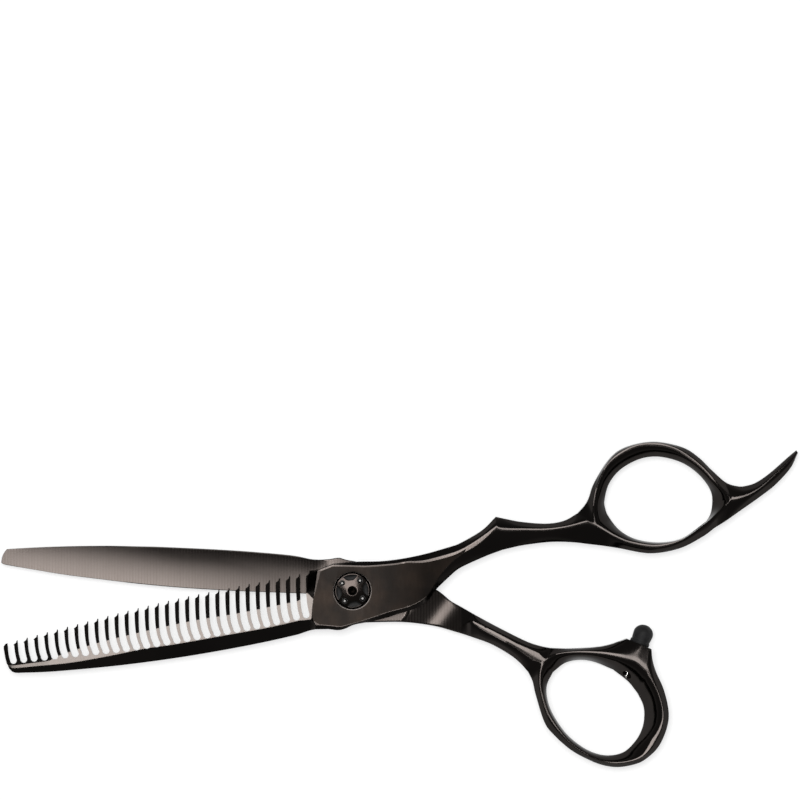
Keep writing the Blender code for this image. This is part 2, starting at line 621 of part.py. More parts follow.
def main():
    clear_scene()
    parts = new_collection(OBJECT_NAME)
    cutters = new_collection(OBJECT_NAME + "_cutters")
    satin = principled("satin_titanium", (0.045, 0.038, 0.034), 1.0, 0.38)
    polished = principled("polished_titanium", (0.012, 0.011, 0.011), 1.0, 0.16)
    bronze = principled("bearing_bronze", (0.45, 0.29, 0.13), 1.0, 0.35)
    nylon = principled("nylon", (0.75, 0.74, 0.70), 0.0, 0.45)
    bright = principled("bright_steel", (0.55, 0.54, 0.52), 1.0, 0.2)
    rubber = principled("black_rubber", (0.02, 0.02, 0.022), 0.0, 0.7)
    front_half(parts, cutters, satin, polished)
    rear_half(parts, cutters, satin, polished)
    pivot(parts, cutters, satin, bronze, nylon, bright)
    bumper_set(parts, rubber, bright)
    for name, nodes in BODIES.items():
        gather(name, nodes, parts)


main()
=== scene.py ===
"""The looks of the hairdresser's thinning shears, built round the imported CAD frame.

The frame's Z is the pivot's axis, the blades point to -X and the handles to +X. Each steel half is
one closed mesh: columns of points run across it from its upper to its lower outline, on its front
and on its rear, and the columns fork round the finger ring. Dimensions are in millimetres, and each
mesh is made in metres.
"""
import math

import bmesh
import bpy
import numpy as np
from mathutils import Matrix, Vector


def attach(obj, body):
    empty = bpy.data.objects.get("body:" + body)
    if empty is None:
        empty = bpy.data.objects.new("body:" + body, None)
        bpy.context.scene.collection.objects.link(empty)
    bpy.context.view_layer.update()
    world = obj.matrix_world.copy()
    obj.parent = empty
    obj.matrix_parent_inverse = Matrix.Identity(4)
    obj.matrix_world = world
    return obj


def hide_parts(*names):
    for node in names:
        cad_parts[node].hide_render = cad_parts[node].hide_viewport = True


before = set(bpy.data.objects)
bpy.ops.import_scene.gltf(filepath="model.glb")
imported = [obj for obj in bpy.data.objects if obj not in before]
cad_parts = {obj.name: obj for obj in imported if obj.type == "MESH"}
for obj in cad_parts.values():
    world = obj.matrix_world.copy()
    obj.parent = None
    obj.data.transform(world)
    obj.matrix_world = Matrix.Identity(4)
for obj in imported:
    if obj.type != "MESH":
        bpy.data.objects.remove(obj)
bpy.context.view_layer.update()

MM = 0.001

# --- Heights along the pivot's axis, as in the CAD ---
REAR_FACE = 0.30
RIDE_REAR = 3.45
RIDE_FRONT = 3.55
FRONT_FACE = 6.85
RING_TOP = 6.80
RING_BOTTOM = 0.0
RING_MIDDLE = 3.40

# --- Pivot ---
STUD_HEAD_R = 3.80
STUD_HEAD_T = 1.00
STUD_R = 2.00
STUD_THREAD_R = 1.45
STUD_TOP = 6.45
STUD_DISH = 0.45            # how far its end is dished
SOCKET_R = 0.90
SOCKET_DEPTH = 0.90
FIT_GAP = 0.05
BUSH_R = 2.60
COUNTERBORE_R = 4.15
COUNTERBORE_FLOOR = 4.85
RIM_WIDTH = 0.11            # the polished rim round the counterbore
RIM_DEPTH = 0.016
CLICK_PLATE_TOP = 5.82
DIAL_BOTTOM = 5.92
DIAL_TOP = 6.95
DIAL_R = 3.83
DIAL_WEB = 6.50
DIAL_HOLE_R = 0.98
DIAL_CROWN = 0.50           # how far the dial's face falls to its rim
DIAL_CURVE = 1.4            # and the power of the radius with which it falls
DIAL_EDGE = 0.12            # width of the dial's outer chamfer
DIAL_BEVEL = 0.06           # on its pockets' edges
POCKET_DEPTH = 0.62
MOUTH_DEPTH = 0.75          # of the wider mouths round the balls
BALL_CIRCLE = 2.80
BALL_R = 0.52
BALL_FLAT_R = 0.22
BALL_FLAT_Z = 0.42          # above the ball's middle
BALL_HOLE_R = 0.66
BALL_ANGLE = 53.0

# --- Comb ---
TEETH = 30
TOOTH_PITCH = 2.224
FIRST_TIP = -76.0
ROOT_ARC = 0.85
LEFT_SWING = (0.95, 1.6)
RIGHT_SWING = (1.40, 2.6)
TOOTH_TOP = 1.00
SHORT_SWING = 0.38
TOOTH_CREST = ((-0.92, -0.95), (-0.34, -0.50), (-0.20, 0.0))
COMB_RISE = 0.29            # slope of the facet next to the comb's tips
COMB_TILT = 0.09            # slope of its middle facet
COMB_DROP = 0.42            # slope of the facet along its spine
COMB_EDGE = 0.42            # how far the tips stand above the inner face

# --- Ride pad: the bare, raised part of the plain half's inner face ---
PAD_R = 13.0
PAD_START = -5.4            # X of its left end
PAD_CORNER = 0.3            # how fast its lower right corner rounds off below PAD_CORNER_Y
PAD_CORNER_Y = -5.6
PAD_STEP = 0.35             # width of the step from the pad down to the relief
PAD_RIM_HIGHLIGHT = 0.45              # width of the painted highlight along the pad's rim

# --- Plain half's inner face past the pad: a slanted scoop that runs out into the thumb shank ---
RELIEF_DEPTH = 0.22         # below the ride pad
SCOOP_MIDDLE = 19.1         # where the scoop is lowest, along X on the line Y = SCOOP_Y
SCOOP_Y = -4.75
SCOOP_SLANT = 0.79          # change of X with Y along its lowest line
SCOOP_CURVE = 0.033
SCOOP_FALL = 0.12           # steepest slope before the lowest line
SCOOP_RISE = 0.33           # and after it
SCOOP_BEVEL = 0.7           # slope below the scoop's crest
EDGE_ROUNDING = 0.09
SHANK_TOP = 6.6             # height of the thumb shank's crest
THUMB_BROW = ((24.6, 0.02), (26.2, 0.25), (28.5, 0.4), (36, 0.45), (40.5, 1.0), (42, 0.5))

# --- Painted highlights along the edges of the front block's satin flat, and the start of the shanks ---
# widths of the painted highlight along the flat's upper edge, by X
EDGE_SHEEN_WIDTH = ((-4, 0.35), (0, 0.22), (12, 0.25), (20, 0.55), (26, 0.65))
LOWER_SHEEN_WIDTH = 0.15           # width of the painted highlight along the flat's lower edge
LOWER_SHEEN_END = 16.0             # X at which that strip ends
SHEEN_LOW_Y = 4.4              # Y above which the flat's edges take their painted highlight
BLOCK_START = -8.0          # X where the plain blade gives way to its block
WEDGE_START = 25.0          # X from which the whole end of the flat takes a painted highlight
SHANK_START = 22.0          # X where the flat inner faces give way to the rounded shanks

# --- Cross-section of the rings and the tang ---
RING_SHAPE = dict(radius=0.6, lean=0.8, power=3.0)
RING_BROW = 0.32            # width of the level brow outside the crest
INNER_BROW = 0.25           # and inside it
RING_WALL = (4.9, 1.9)      # heights of the outer wall's two edges
RING_MEET = (6.55, 0.35)    # heights of the finger ring's crest where it meets the tang
BLEND_STEPS = 10            # stations over which an arm takes up the ring's own crest height
# Heights of the hole's wall above RING_MIDDLE, and their change where the inner flank is plain
INNER_WALL = ((0.5, -2.1), (-0.5, -1.7))
TANG_TIP = 1.5              # half the tang's thickness at its tip
TOP_BROW = 0.25             # extra width of the brow inside the finger ring's top
TOP_BROW_X = 67.0
TOP_BROW_REACH = 13.0
CORNER_LIFT = 1.38          # of the thumb ring's front edge at the boss's corner
BOSS_DROP = 1.1             # of its rear edge along the boss
GLINT = (67.0, -32.3)       # middle of the broad brow inside the thumb ring
GLINT_BROW = 0.8            # its extra width
GLINT_R = 4.5
QUIET_MIDDLE = (68.2, -25.0)    # middle of the stretch where the crest has hardly any brow
QUIET_R = 7.0

# --- Bumper ---
BUMPER_BASE = (63.25, -11.70)
BUMPER_AXIS = (0.3725, 0.928)
BUMPER_R = 2.20
BUMPER_LENGTH = 4.30
BUMPER_BORE_DEPTH = 2.60
STEM_R = 1.00
STEM_END = -7.95
STEM_BALL_R = 0.33

# --- Rails of the comb, as (X, Y): its outline and the two lines between its three facets ---
COMB_TIPS = ((-76.85, -12.35), (-76.0, -11.6), (-69.4, -9.8), (-51.5, -5.0), (-35.75, -1.2),
             (-11.3, 3.6))
COMB_SPINE = ((-76.85, -12.95), (-75.8, -16.7), (-74.6, -18.0), (-72.0, -18.07), (-65, -17.75),
              (-51, -16.45), (-36.9, -14.55), (-22.8, -12.05), (-12.3, -9.75), (-9.6, -8.85))
TOP_FACET_LINE = ((-76.85, -12.5), (-76.2, -15.0), (-75.4, -16.45), (-70.0, -15.9), (-66.3, -15.35),
                  (-64.5, -14.3), (-53.8, -10.95), (-36.3, -6.9), (-25.0, -5.0), (-11.9, -2.3))
SPINE_FACET_LINE = ((-76.85, -12.7), (-76.2, -15.9), (-75.1, -16.95), (-73.9, -17.0),
                    (-68.6, -16.5), (-63.3, -16.0), (-58.0, -15.2), (-51.0, -13.85),
                    (-45.7, -12.75), (-38.5, -11.7), (-29.6, -10.1), (-18.5, -8.1), (-9.8, -6.1))
SLOT_TIPS = COMB_TIPS + ((-7.5, 4.6),)
SLOT_ROOTS = ((-74.7, -16.2), (-61.0, -14.7), (-49.6, -13.5), (-38.5, -11.7), (-29.6, -10.1),
              (-18.5, -8.1), (-9.8, -6.1))

# --- Rails of the front block and its shank, from the comb's shoulder to the fork ---
FRONT_UPPER = (((-7.5, 4.6), (-4.3, 5.9)),
               ((-4.3, 5.9), (0.5, 6.36), (7.5, 6.58), (14.6, 7.75), (21.6, 9.68), (24.0, 10.6),
                (28.6, 13.3), (31.6, 16.25)),
               ((31.6, 16.25), (33.9, 15.75), (37.4, 15.1), (42.7, 14.73), (46.6, 15.35),
                (49.6, 17.0)),
               ((49.6, 17.0), (50.9, 18.4)))
FRONT_CREST = (((-7.6, 4.45), (-4.25, 5.72)),
               ((-4.25, 5.72), (1.5, 5.45), (4.2, 5.5), (9.4, 5.95), (12.1, 6.4), (15.7, 6.6),
                (20.8, 7.9), (23.7, 8.9), (26.7, 10.6), (31.7, 14.0)),
               ((31.7, 14.0), (33.2, 13.5), (38.2, 13.45), (42.8, 13.5), (47.2, 14.1),
                (51.9, 15.3)),
               ((51.9, 15.3), (53.4, 14.6)))
FRONT_FLAT = (((-8.0, -7.5), (-4.6, -7.75)),
              ((-4.6, -7.75), (-2.6, -7.95), (-1.0, -7.55), (1.4, -6.9), (5.0, -5.75), (8.0, -4.7),
               (11.0, -3.95), (13.0, -3.3), (14.5, -2.6), (16.0, -1.6), (17.2, 0.0), (19.7, 3.9),
               (22.3, 6.7), (24.6, 8.4), (27.0, 9.8), (29.4, 11.7), (31.7, 14.0)))
FRONT_LOWER = (((-8.2, -8.5), (-5.2, -8.45)),
               ((-5.2, -8.45), (-3.0, -8.68), (-1.3, -8.25), (0.5, -7.45), (4.5, -6.7),
                (8.0, -5.8), (10.2, -5.05), (12.1, -4.55), (14.0, -3.85), (15.5, -3.0),
                (16.9, -1.85), (18.4, 0.2), (21.6, 3.31), (24.0, 5.15), (29.4, 7.6), (33.0, 8.95)),
               ((33.0, 8.95), (35.3, 9.5), (38.0, 10.05), (43.5, 10.7), (48.3, 10.65),
                (52.8, 10.15)),
               ((52.8, 10.15), (54.6, 9.95)))
FACE_EDGE = ((-7.6, 4.45), (-8.5, -1.65), (-8.65, -3.0), (-8.8, -4.3), (-8.85, -5.5),
             (-8.55, -6.6), (-8.0, -7.5))
SHOULDER_TOP = (-9.8, 4.3)
SHOULDER_LINE = ((-9.95, -0.5), (-8.62, -1.8), (-8.77, -3.0), (-8.92, -4.3), (-8.97, -5.3),
                 (-9.0, -5.9), (-9.1, -6.3))
SHOULDER_SPINE = (-9.6, -8.85)

# --- Finger ring: from the fork to the tang, over the top and along the bottom ---
FINGER_OVER = ((50.9, 18.4), (52.0, 20.2), (53.3, 23.8), (56.7, 29.1), (60.5, 31.7),
               (66.5, 32.8), (72.6, 31.6), (76.2, 29.4), (79.2, 26.5), (82.3, 23.8))
FINGER_OVER_CREST = ((53.4, 14.6), (53.15, 16.2), (53.0, 18.4), (53.3, 21.0), (54.3, 24.6),
                     (56.7, 28.5), (61.8, 31.7), (66.6, 32.3), (71.0, 31.4), (75.0, 28.9),
                     (78.0, 26.3), (80.2, 23.7), (82.5, 21.2), (83.3, 20.1))
FINGER_OVER_HOLE = ((56.5, 16.3), (55.75, 18.2), (55.6, 19.9), (56.5, 23.4), (58.9, 26.5),
                    (62.6, 28.7), (66.2, 29.5), (69.8, 29.1), (73.4, 27.75), (76.6, 25.3),
                    (78.9, 22.2), (79.4, 19.5))
FINGER_UNDER = ((54.6, 9.95), (58.6, 9.35), (65.6, 8.2), (72.1, 9.3), (77.2, 11.9), (79.8, 13.8),
                (82.2, 15.3))
FINGER_UNDER_CREST = ((53.4, 14.6), (54.6, 13.9), (57.8, 12.0), (61.0, 10.7), (65.9, 9.85),
                      (69.9, 10.3), (73.6, 11.9), (77.2, 14.5), (80.2, 17.0), (82.5, 19.1),
                      (83.3, 20.1))
FINGER_UNDER_HOLE = ((56.5, 16.3), (58.9, 13.3), (62.4, 11.35), (67.2, 10.6), (72.0, 11.25),
                     (76.0, 13.3), (78.7, 16.3), (79.4, 19.5))
TANG_UPPER = ((82.3, 23.8), (85.0, 22.96), (86.7, 23.05), (89.0, 23.8), (92.0, 25.86),
              (95.7, 29.1), (97.8, 30.9))
TANG_CREST = ((83.3, 20.1), (84.9, 20.3), (87.5, 21.2), (90.1, 22.8), (93.0, 25.4), (95.9, 28.1),
              (98.0, 30.55))
TANG_LOWER = ((82.2, 15.3), (85.6, 17.7), (88.2, 19.5), (90.4, 21.1), (93.2, 23.3), (96.5, 26.9),
              (98.2, 30.3))

# --- Rails of the plain blade, its block and its shank ---
BLADE_SPINE = ((-77.39, 6.5), (-77.25, 7.3), (-76.97, 8.0), (-76.45, 8.75), (-75.8, 9.13),
               (-65, 9.65), (-55, 9.82), (-47.5, 9.7), (-40.4, 9.5), (-26.4, 8.8), (-14, 7.77),
               (-8.8, 6.83), (-5.5, 6.85), (-3.0, 7.19), (-1.3, 6.72), (1.7, 6.2), (7.6, 4.9),
               (12.3, 3.4), (18.6, 0.1), (21.6, -2.28), (24.0, -3.65))
BLADE_EDGE = ((-77.39, 6.1), (-77.0, 5.8), (-75.6, 5.5), (-71.2, 4.75), (-63.3, 3.45),
              (-55.4, 2.45), (-47.5, 1.5), (-39.6, 0.75), (-31.6, 0.2), (-23.7, -0.2),
              (-10.5, -0.7), (-8.6, -1.0), (-7.2, -2.4), (-5.6, -4.6), (-3.6, -6.4),
              (-1.0, -7.0), (2.2, -7.08), (11, -6.98), (18.1, -7.88), (24.0, -9.5))
REAR_UPPER = ((24.0, -3.65), (28.6, -6.26), (33.9, -9.05), (38.3, -11.2), (41.0, -12.15),
              (43.6, -12.68))
REAR_LOWER = ((24.0, -9.5), (26.5, -10.3), (30.5, -11.75), (34.5, -14.0), (36.9, -15.9),
              (38.7, -17.9))
REAR_CREST = ((24.0, -8.0), (24.9, -7.45), (26.2, -6.85), (28.1, -7.85), (33.3, -10.6),
              (38.0, -13.2), (42.05, -15.55))
SCOOP_CREST = ((14.0, -7.2), (17.0, -7.5), (19.3, -7.75), (21.5, -8.35), (22.8, -8.3),
               (24.0, -8.0))

# --- Thumb ring: from the fork over the boss, round and back to the fork ---
THUMB_OUTER = (((43.6, -12.68), (47.5, -12.8), (53.3, -12.5), (56.8, -11.9), (60.45, -10.62)),
               ((60.45, -10.62), (65.85, -12.88)),
               ((65.85, -12.88), (66.1, -15.2), (66.9, -17.9), (68.6, -21.8), (69.66, -26.5),
                (69.3, -30.2), (67.5, -34.3), (64.9, -36.9), (62.5, -38.18), (58.6, -38.88),
                (55.0, -38.4), (51.5, -37.0), (48.0, -35.0), (44.5, -31.9), (42.3, -29.0),
                (40.4, -23.0), (39.7, -20.0), (38.7, -17.9)))
THUMB_CREST = (((42.05, -15.55), (43.9, -14.25), (46.6, -13.6), (50.6, -13.45), (54.9, -13.75),
                (58.8, -14.45)),
               ((58.8, -14.45), (62.3, -15.45), (64.9, -17.6)),
               ((64.9, -17.6), (67.3, -22.3), (68.4, -26.6), (68.1, -30.0), (66.8, -32.9),
                (64.4, -36.0), (61.1, -37.5), (56.7, -37.8), (52.3, -36.35), (47.9, -33.4),
                (43.5, -28.1), (41.6, -22.5), (41.3, -18.4), (42.05, -15.55)))
THUMB_HOLE = (((44.2, -18.0), (46.8, -16.05), (49.9, -15.38), (53.3, -15.8), (57.5, -17.5)),
              ((57.5, -17.5), (60.8, -20.1), (62.9, -22.7)),
              ((62.9, -22.7), (64.1, -25.2), (64.4, -27.5), (64.0, -30.2), (62.6, -32.9),
               (60.0, -35.5), (56.8, -36.35), (53.6, -35.9), (50.4, -34.3), (47.2, -31.6),
               (44.5, -27.8), (43.1, -24.4), (42.85, -21.0), (44.2, -18.0)))

# --- Camera, straight above the shears ---
VIEW_CENTRE = (10.494, 41.976)
VIEW_WIDTH = 176.0
VIEW_HEIGHT = 1750.0
SENSOR = 36.0

# --- Mesh density: rows of faces across a flank and a flat ---
FLANK_ROWS = 12
FLAT_ROWS = 6
BROW_SLOPE = 0.07           # of the brow beside a crest

# --- Materials of a steel half, in the order of its slots ---
POLISHED, SATIN, GROUND, HONED = range(4)


# ---------------------------------------------------------------- curves

def catmull(points, steps, before=None, after=None):
    """A smooth curve through points, with a number of steps from each one to the next.

    before and after are the points that the curve would have come from and gone on to.
    """
    pts = [np.array(p, float) for p in points]
    first = 2 * pts[0] - pts[1] if before is None else np.array(before, float)
    last = 2 * pts[-1] - pts[-2] if after is None else np.array(after, float)
    ring = [first] + pts + [last]
    out = []
    for a, b, c, d in zip(ring, ring[1:], ring[2:], ring[3:]):
        for k in range(steps):
            t = k / steps
            out.append(0.5 * (2 * b + (c - a) * t + (2 * a - 5 * b + 4 * c - d) * t * t
                              + (3 * b - a - 3 * c + d) * t ** 3))
    out.append(pts[-1])
    return out


def rail(points, count, before=None, after=None):
    """Points at even distances along the smooth curve through points: count + 1 of them."""
    curve = np.array(catmull(points, 12, before, after))
    lengths = np.concatenate(([0.0], np.cumsum(np.linalg.norm(np.diff(curve, axis=0), axis=1))))
    wanted = np.linspace(0.0, lengths[-1], count + 1)
    out = np.column_stack([np.interp(wanted, lengths, curve[:, k]) for k in range(2)])
    out[0], out[-1] = points[0], points[-1]
    return out


def rails(stretches, counts):
    """One rail from several stretches that meet at corners."""
    parts = [rail(points, count) for points, count in zip(stretches, counts)]
    return np.vstack([parts[0]] + [part[1:] for part in parts[1:]])


def smooth_height(outline, xs):
    """The Y of the smooth curve through an outline that runs left to right, at each X."""
    curve = np.array(catmull(outline, 8))
    return np.interp(xs, curve[:, 0], curve[:, 1])


def ramp(value, start, end):
    """0 before start, 1 after end, and a smooth step between them."""
    t = np.clip((value - start) / (end - start), 0.0, 1.0)
    return t * t * (3 - 2 * t)


def table(value, *rows):
    """Linear interpolation in rows of (position, value), such as an outline's points."""
    xs, ys = zip(*rows)
    return np.interp(value, xs, ys)


# ---------------------------------------------------------------- columns across a half

def flank(edge, crest, radius=0.25, lean=0.75, power=2.6, brow=0.02):
    """Points from an edge up to a crest: a straight slope that rounds off towards the crest and
    steepens towards the edge, with a nearly level brow beside the crest. radius is the rounding,
    lean the slope's share of the whole height and brow the brow's width."""
    edge, crest = np.array(edge, float), np.array(crest, float)
    width = np.linalg.norm((crest - edge)[:2])
    brow = min(brow, 0.4 * width)
    rest = width - brow
    full = math.hypot(rest, radius) - radius
    count = FLANK_ROWS - 2
    reaches = [0.0, brow / 2] + [brow + rest * (1 - math.cos(math.pi * j / count)) / 2
                                 for j in range(count + 1)]
    side = math.copysign(1.0, crest[2] - edge[2])
    height = abs(crest[2] - edge[2])
    lip = min(BROW_SLOPE * brow, height)
    out = []
    for reach in reversed(reaches):
        past = max(0.0, reach - brow)
        fall = lean * (math.hypot(past, radius) - radius) / full \
            + (1 - lean) * (past / rest) ** power
        point = crest + (edge - crest) * reach / width
        point[2] = crest[2] - side * (min(BROW_SLOPE * reach, lip) + (height - lip) * fall)
        out.append(point)
    return out


def column(edge_up, crest_up, crest_low, edge_low, upper, lower, flat=None):
    """Points across one face of a half, from its upper outline to its lower one."""
    first = flank(edge_up, crest_up, **upper)
    last = flank(edge_low, crest_low, **lower)[::-1]
    if flat is None:
        a, b = first[-1], last[0]
        flat = [a + (b - a) * k / FLAT_ROWS for k in range(1, FLAT_ROWS)]
    return first + list(flat) + last


def at(xy, z):
    return np.array((xy[0], xy[1], z), float)


class Shell:
    """Faces between shared points, gathered into one closed mesh."""

    def __init__(self):
        self.keys = {}
        self.points = []
        self.faces = []
        self.tags = []

    def corner(self, point):
        key = tuple(round(float(value), 4) for value in point)
        if key not in self.keys:
            self.keys[key] = len(self.points)
            self.points.append(key)
        return self.keys[key]

    def face(self, points, tag):
        corners = []
        for point in points:
            index = self.corner(point)
            if index not in corners:
                corners.append(index)
        if len(corners) > 2:
            self.faces.append(corners)
            self.tags.append(tag)

    def grid(self, columns, tags):
        """Faces between neighbouring columns; tags gives a row's material or is one number."""
        for near, far in zip(columns, columns[1:]):
            for row in range(len(near) - 1):
                tag = tags(near, far, row) if callable(tags) else tags
                self.face((near[row], near[row + 1], far[row + 1], far[row]), tag)

    def wall(self, fronts, rears, edge):
        """Faces between the front and the rear columns along one edge: 0 or -1."""
        self.grid([[front[edge], rear[edge]] for front, rear in zip(fronts, rears)], POLISHED)

    def close(self, fronts, rears, end):
        """Walls along both outlines, and a cap between the columns at one end: 0 or -1."""
        self.wall(fronts, rears, 0)
        self.wall(fronts, rears, -1)
        self.face(list(fronts[end]) + list(rears[end])[::-1], POLISHED)

    def build(self, name, materials):
        builder = bmesh.new()
        verts = [builder.verts.new(Vector(point) * MM) for point in self.points]
        for corners, tag in zip(self.faces, self.tags):
            face = builder.faces.new([verts[index] for index in corners])
            face.material_index = tag
        return finish_mesh(name, builder, materials)


# ---------------------------------------------------------------- meshes

def finish_mesh(name, builder, materials):
    """Turn a bmesh into a named object in the scene."""
    bmesh.ops.recalc_face_normals(builder, faces=builder.faces)
    mesh = bpy.data.meshes.new(name)
    builder.to_mesh(mesh)
    builder.free()
    item = bpy.data.objects.new(name, mesh)
    bpy.context.scene.collection.objects.link(item)
    for material in materials:
        mesh.materials.append(material)
    return item


def bake(item):
    """Apply an object's modifiers and its place to its mesh."""
    bpy.context.view_layer.update()
    evaluated = item.evaluated_get(bpy.context.evaluated_depsgraph_get())
    mesh = bpy.data.meshes.new_from_object(evaluated)
    mesh.transform(item.matrix_world)
    item.modifiers.clear()
    item.matrix_world = Matrix.Identity(4)
    old = item.data
    item.data = mesh
    bpy.data.meshes.remove(old)
    mesh.name = item.name
    return item


def boolean(target, cutters, operation="DIFFERENCE"):
    """Cut or join with an exact Boolean, and remove the other objects."""
    for cutter in cutters:
        modifier = target.modifiers.new("cut", "BOOLEAN")
        modifier.operation = operation
        modifier.solver = "EXACT"
        modifier.object = cutter
    bake(target)
    for cutter in cutters:
        bpy.data.objects.remove(cutter, do_unlink=True)


def shade(item, angle=30.0):
    item.data.shade_smooth()
    item.data.set_sharp_from_angle(angle=math.radians(angle))
    return item


def turned(name, profile, materials=(), steps=96):
    """A profile of (radius, height) pairs, top to bottom on its outer side, spun round Z."""
    mesh = bpy.data.meshes.new(name)
    verts = [(radius * MM, 0.0, height * MM) for radius, height in profile]
    edges = [(i, i + 1) for i in range(len(verts) - 1)]
    if profile[0][0] > 0.0:
        edges.append((len(verts) - 1, 0))
    mesh.from_pydata(verts, edges, [])
    item = bpy.data.objects.new(name, mesh)
    bpy.context.scene.collection.objects.link(item)
    screw = item.modifiers.new("spin", "SCREW")
    screw.steps = steps
    screw.render_steps = steps
    screw.use_merge_vertices = True
    screw.merge_threshold = 0.000001
    bake(item)
    for material in materials:
        item.data.materials.append(material)
    return item


def cylinder(name, radius, low, high, steps=96):
    return turned(name, ((0, high), (radius, high), (radius, low), (0, low)), (), steps)


def prism(name, outlines, bottom, top):
    """Closed flat outlines, each extruded from bottom to top."""
    builder = bmesh.new()
    for outline in outlines:
        low = [builder.verts.new(Vector((x, y, bottom)) * MM) for x, y in outline]
        high = [builder.verts.new(Vector((x, y, top)) * MM) for x, y in outline]
        builder.faces.new(low)
        builder.faces.new(high)
        for k in range(len(low)):
            j = (k + 1) % len(low)
            builder.faces.new((low[k], low[j], high[j], high[k]))
    return finish_mesh(name, builder, ())


def lay_along(item, base, direction, height):
    """Turn a piece made along Z so that it points along direction from base, at a height."""
    turn = Vector((direction[0], direction[1], 0.0)).to_track_quat("Z", "Y").to_matrix().to_4x4()
    item.matrix_world = Matrix.Translation(Vector((base[0], base[1], height)) * MM) @ turn
    return bake(item)


# ---------------------------------------------------------------- materials

SOCKETS = {"specular_ior_level": "Specular IOR Level", "specular_tint": "Specular Tint"}
EDGE_TINT = (0.55, 0.55, 0.55, 1.0)     # dulls the coating's reflection at grazing angles


class Nodes:
    """A Principled material that is built node by node."""

    def __init__(self, name, colour, metallic, roughness, **settings):
        self.material = bpy.data.materials.new(name)
        self.material.use_nodes = True
        self.tree = self.material.node_tree
        self.shader = self.tree.nodes["Principled BSDF"]
        self.shader.inputs["Base Color"].default_value = (*colour, 1.0)
        self.shader.inputs["Metallic"].default_value = metallic
        self.shader.inputs["Roughness"].default_value = roughness
        for key, value in settings.items():
            self.shader.inputs[SOCKETS[key]].default_value = value
        self.material.diffuse_color = (*colour, 1.0)
        self.coordinates = self.tree.nodes.new("ShaderNodeTexCoord").outputs["Object"]

    def put(self, kind, values=(), links=(), **settings):
        node = self.tree.nodes.new("ShaderNode" + kind)
        for key, value in settings.items():
            setattr(node, key, value)
        for key, value in dict(values).items():
            node.inputs[key].default_value = value
        for key, output in dict(links).items():
            self.tree.links.new(output, node.inputs[key])
        return node

    def stretched(self, scale, rotation=(0.0, 0.0, 0.0)):
        """Coordinates in millimetres, scaled along each axis."""
        mapping = self.put("Mapping", {"Scale": [value / MM for value in scale],
                                       "Rotation": rotation},
                           {"Vector": self.coordinates})
        return mapping.outputs["Vector"]

    def noise(self, scale, rotation=(0.0, 0.0, 0.0), detail=3.0):
        return self.put("TexNoise", {"Scale": 1.0, "Detail": detail},
                        {"Vector": self.stretched(scale, rotation)}).outputs["Fac"]

    def remap(self, value, low, high, out_low, out_high):
        node = self.put("MapRange", {"From Min": low, "From Max": high, "To Min": out_low,
                                     "To Max": out_high}, {"Value": value})
        return node.outputs["Result"]

    def maths(self, operation, first, second):
        node = self.put("Math", operation=operation)
        for socket, value in zip(node.inputs, (first, second)):
            if isinstance(value, (int, float)):
                socket.default_value = value
            else:
                self.tree.links.new(value, socket)
        return node.outputs[0]

    def add(self, first, second):
        return self.maths("ADD", first, second)

    def times(self, first, second):
        return self.maths("MULTIPLY", first, second)

    def blend(self, factor, dark, light):
        node = self.put("Mix", data_type="RGBA")
        self.tree.links.new(factor, node.inputs["Factor"])
        for socket, value in ((node.inputs[6], dark), (node.inputs[7], light)):
            if isinstance(value, tuple):
                socket.default_value = (*value, 1.0)
            else:
                self.tree.links.new(value, socket)
        return node.outputs[2]

    def millimetres(self):
        """X and Y in the shears' own frame, in millimetres."""
        split = self.put("SeparateXYZ", links={"Vector": self.stretched((1.0, 1.0, 1.0))})
        return split.outputs[0], split.outputs[1]

    def radius(self):
        """Distance from the pivot's axis, in millimetres."""
        x, y = self.millimetres()
        squares = self.add(self.maths("POWER", x, 2.0), self.maths("POWER", y, 2.0))
        return self.maths("SQRT", squares, 0.0)

    def dimmed(self, colour, factor):
        """A colour multiplied by a factor, which may also be above 1."""
        node = self.put("VectorMath", operation="SCALE")
        self.tree.links.new(colour, node.inputs[0])
        self.tree.links.new(factor, node.inputs["Scale"])
        return node.outputs[0]

    def colour(self, output):
        self.tree.links.new(output, self.shader.inputs["Base Color"])

    def roughness(self, output):
        self.tree.links.new(output, self.shader.inputs["Roughness"])

    def bump(self, height, strength, distance):
        node = self.put("Bump", {"Strength": strength, "Distance": distance * MM},
                        {"Height": height})
        self.tree.links.new(node.outputs["Normal"], self.shader.inputs["Normal"])


def polished_steel():
    """Near-black coating on polished steel: faint polishing lines and a little tone change."""
    nodes = Nodes("polished_titanium", (0.024, 0.0215, 0.0205), 1.0, 0.16,
                  specular_tint=EDGE_TINT)
    tone = nodes.noise((0.08, 0.08, 0.08), detail=2.0)
    nodes.colour(nodes.blend(nodes.remap(tone, 0.35, 0.65, 0.0, 1.0),
                             (0.0215, 0.0190, 0.0178), (0.0275, 0.0240, 0.0222)))
    lines = nodes.noise((6.0, 0.5, 1.0), rotation=(0.0, 0.0, 0.5), detail=4.0)
    smudge = nodes.noise((0.25, 0.25, 0.25), detail=4.0)
    nodes.roughness(nodes.add(nodes.remap(lines, 0.3, 0.7, 0.10, 0.17),
                              nodes.remap(smudge, 0.4, 0.75, 0.0, 0.06)))
    nodes.bump(lines, 0.12, 0.01)
    return nodes.material


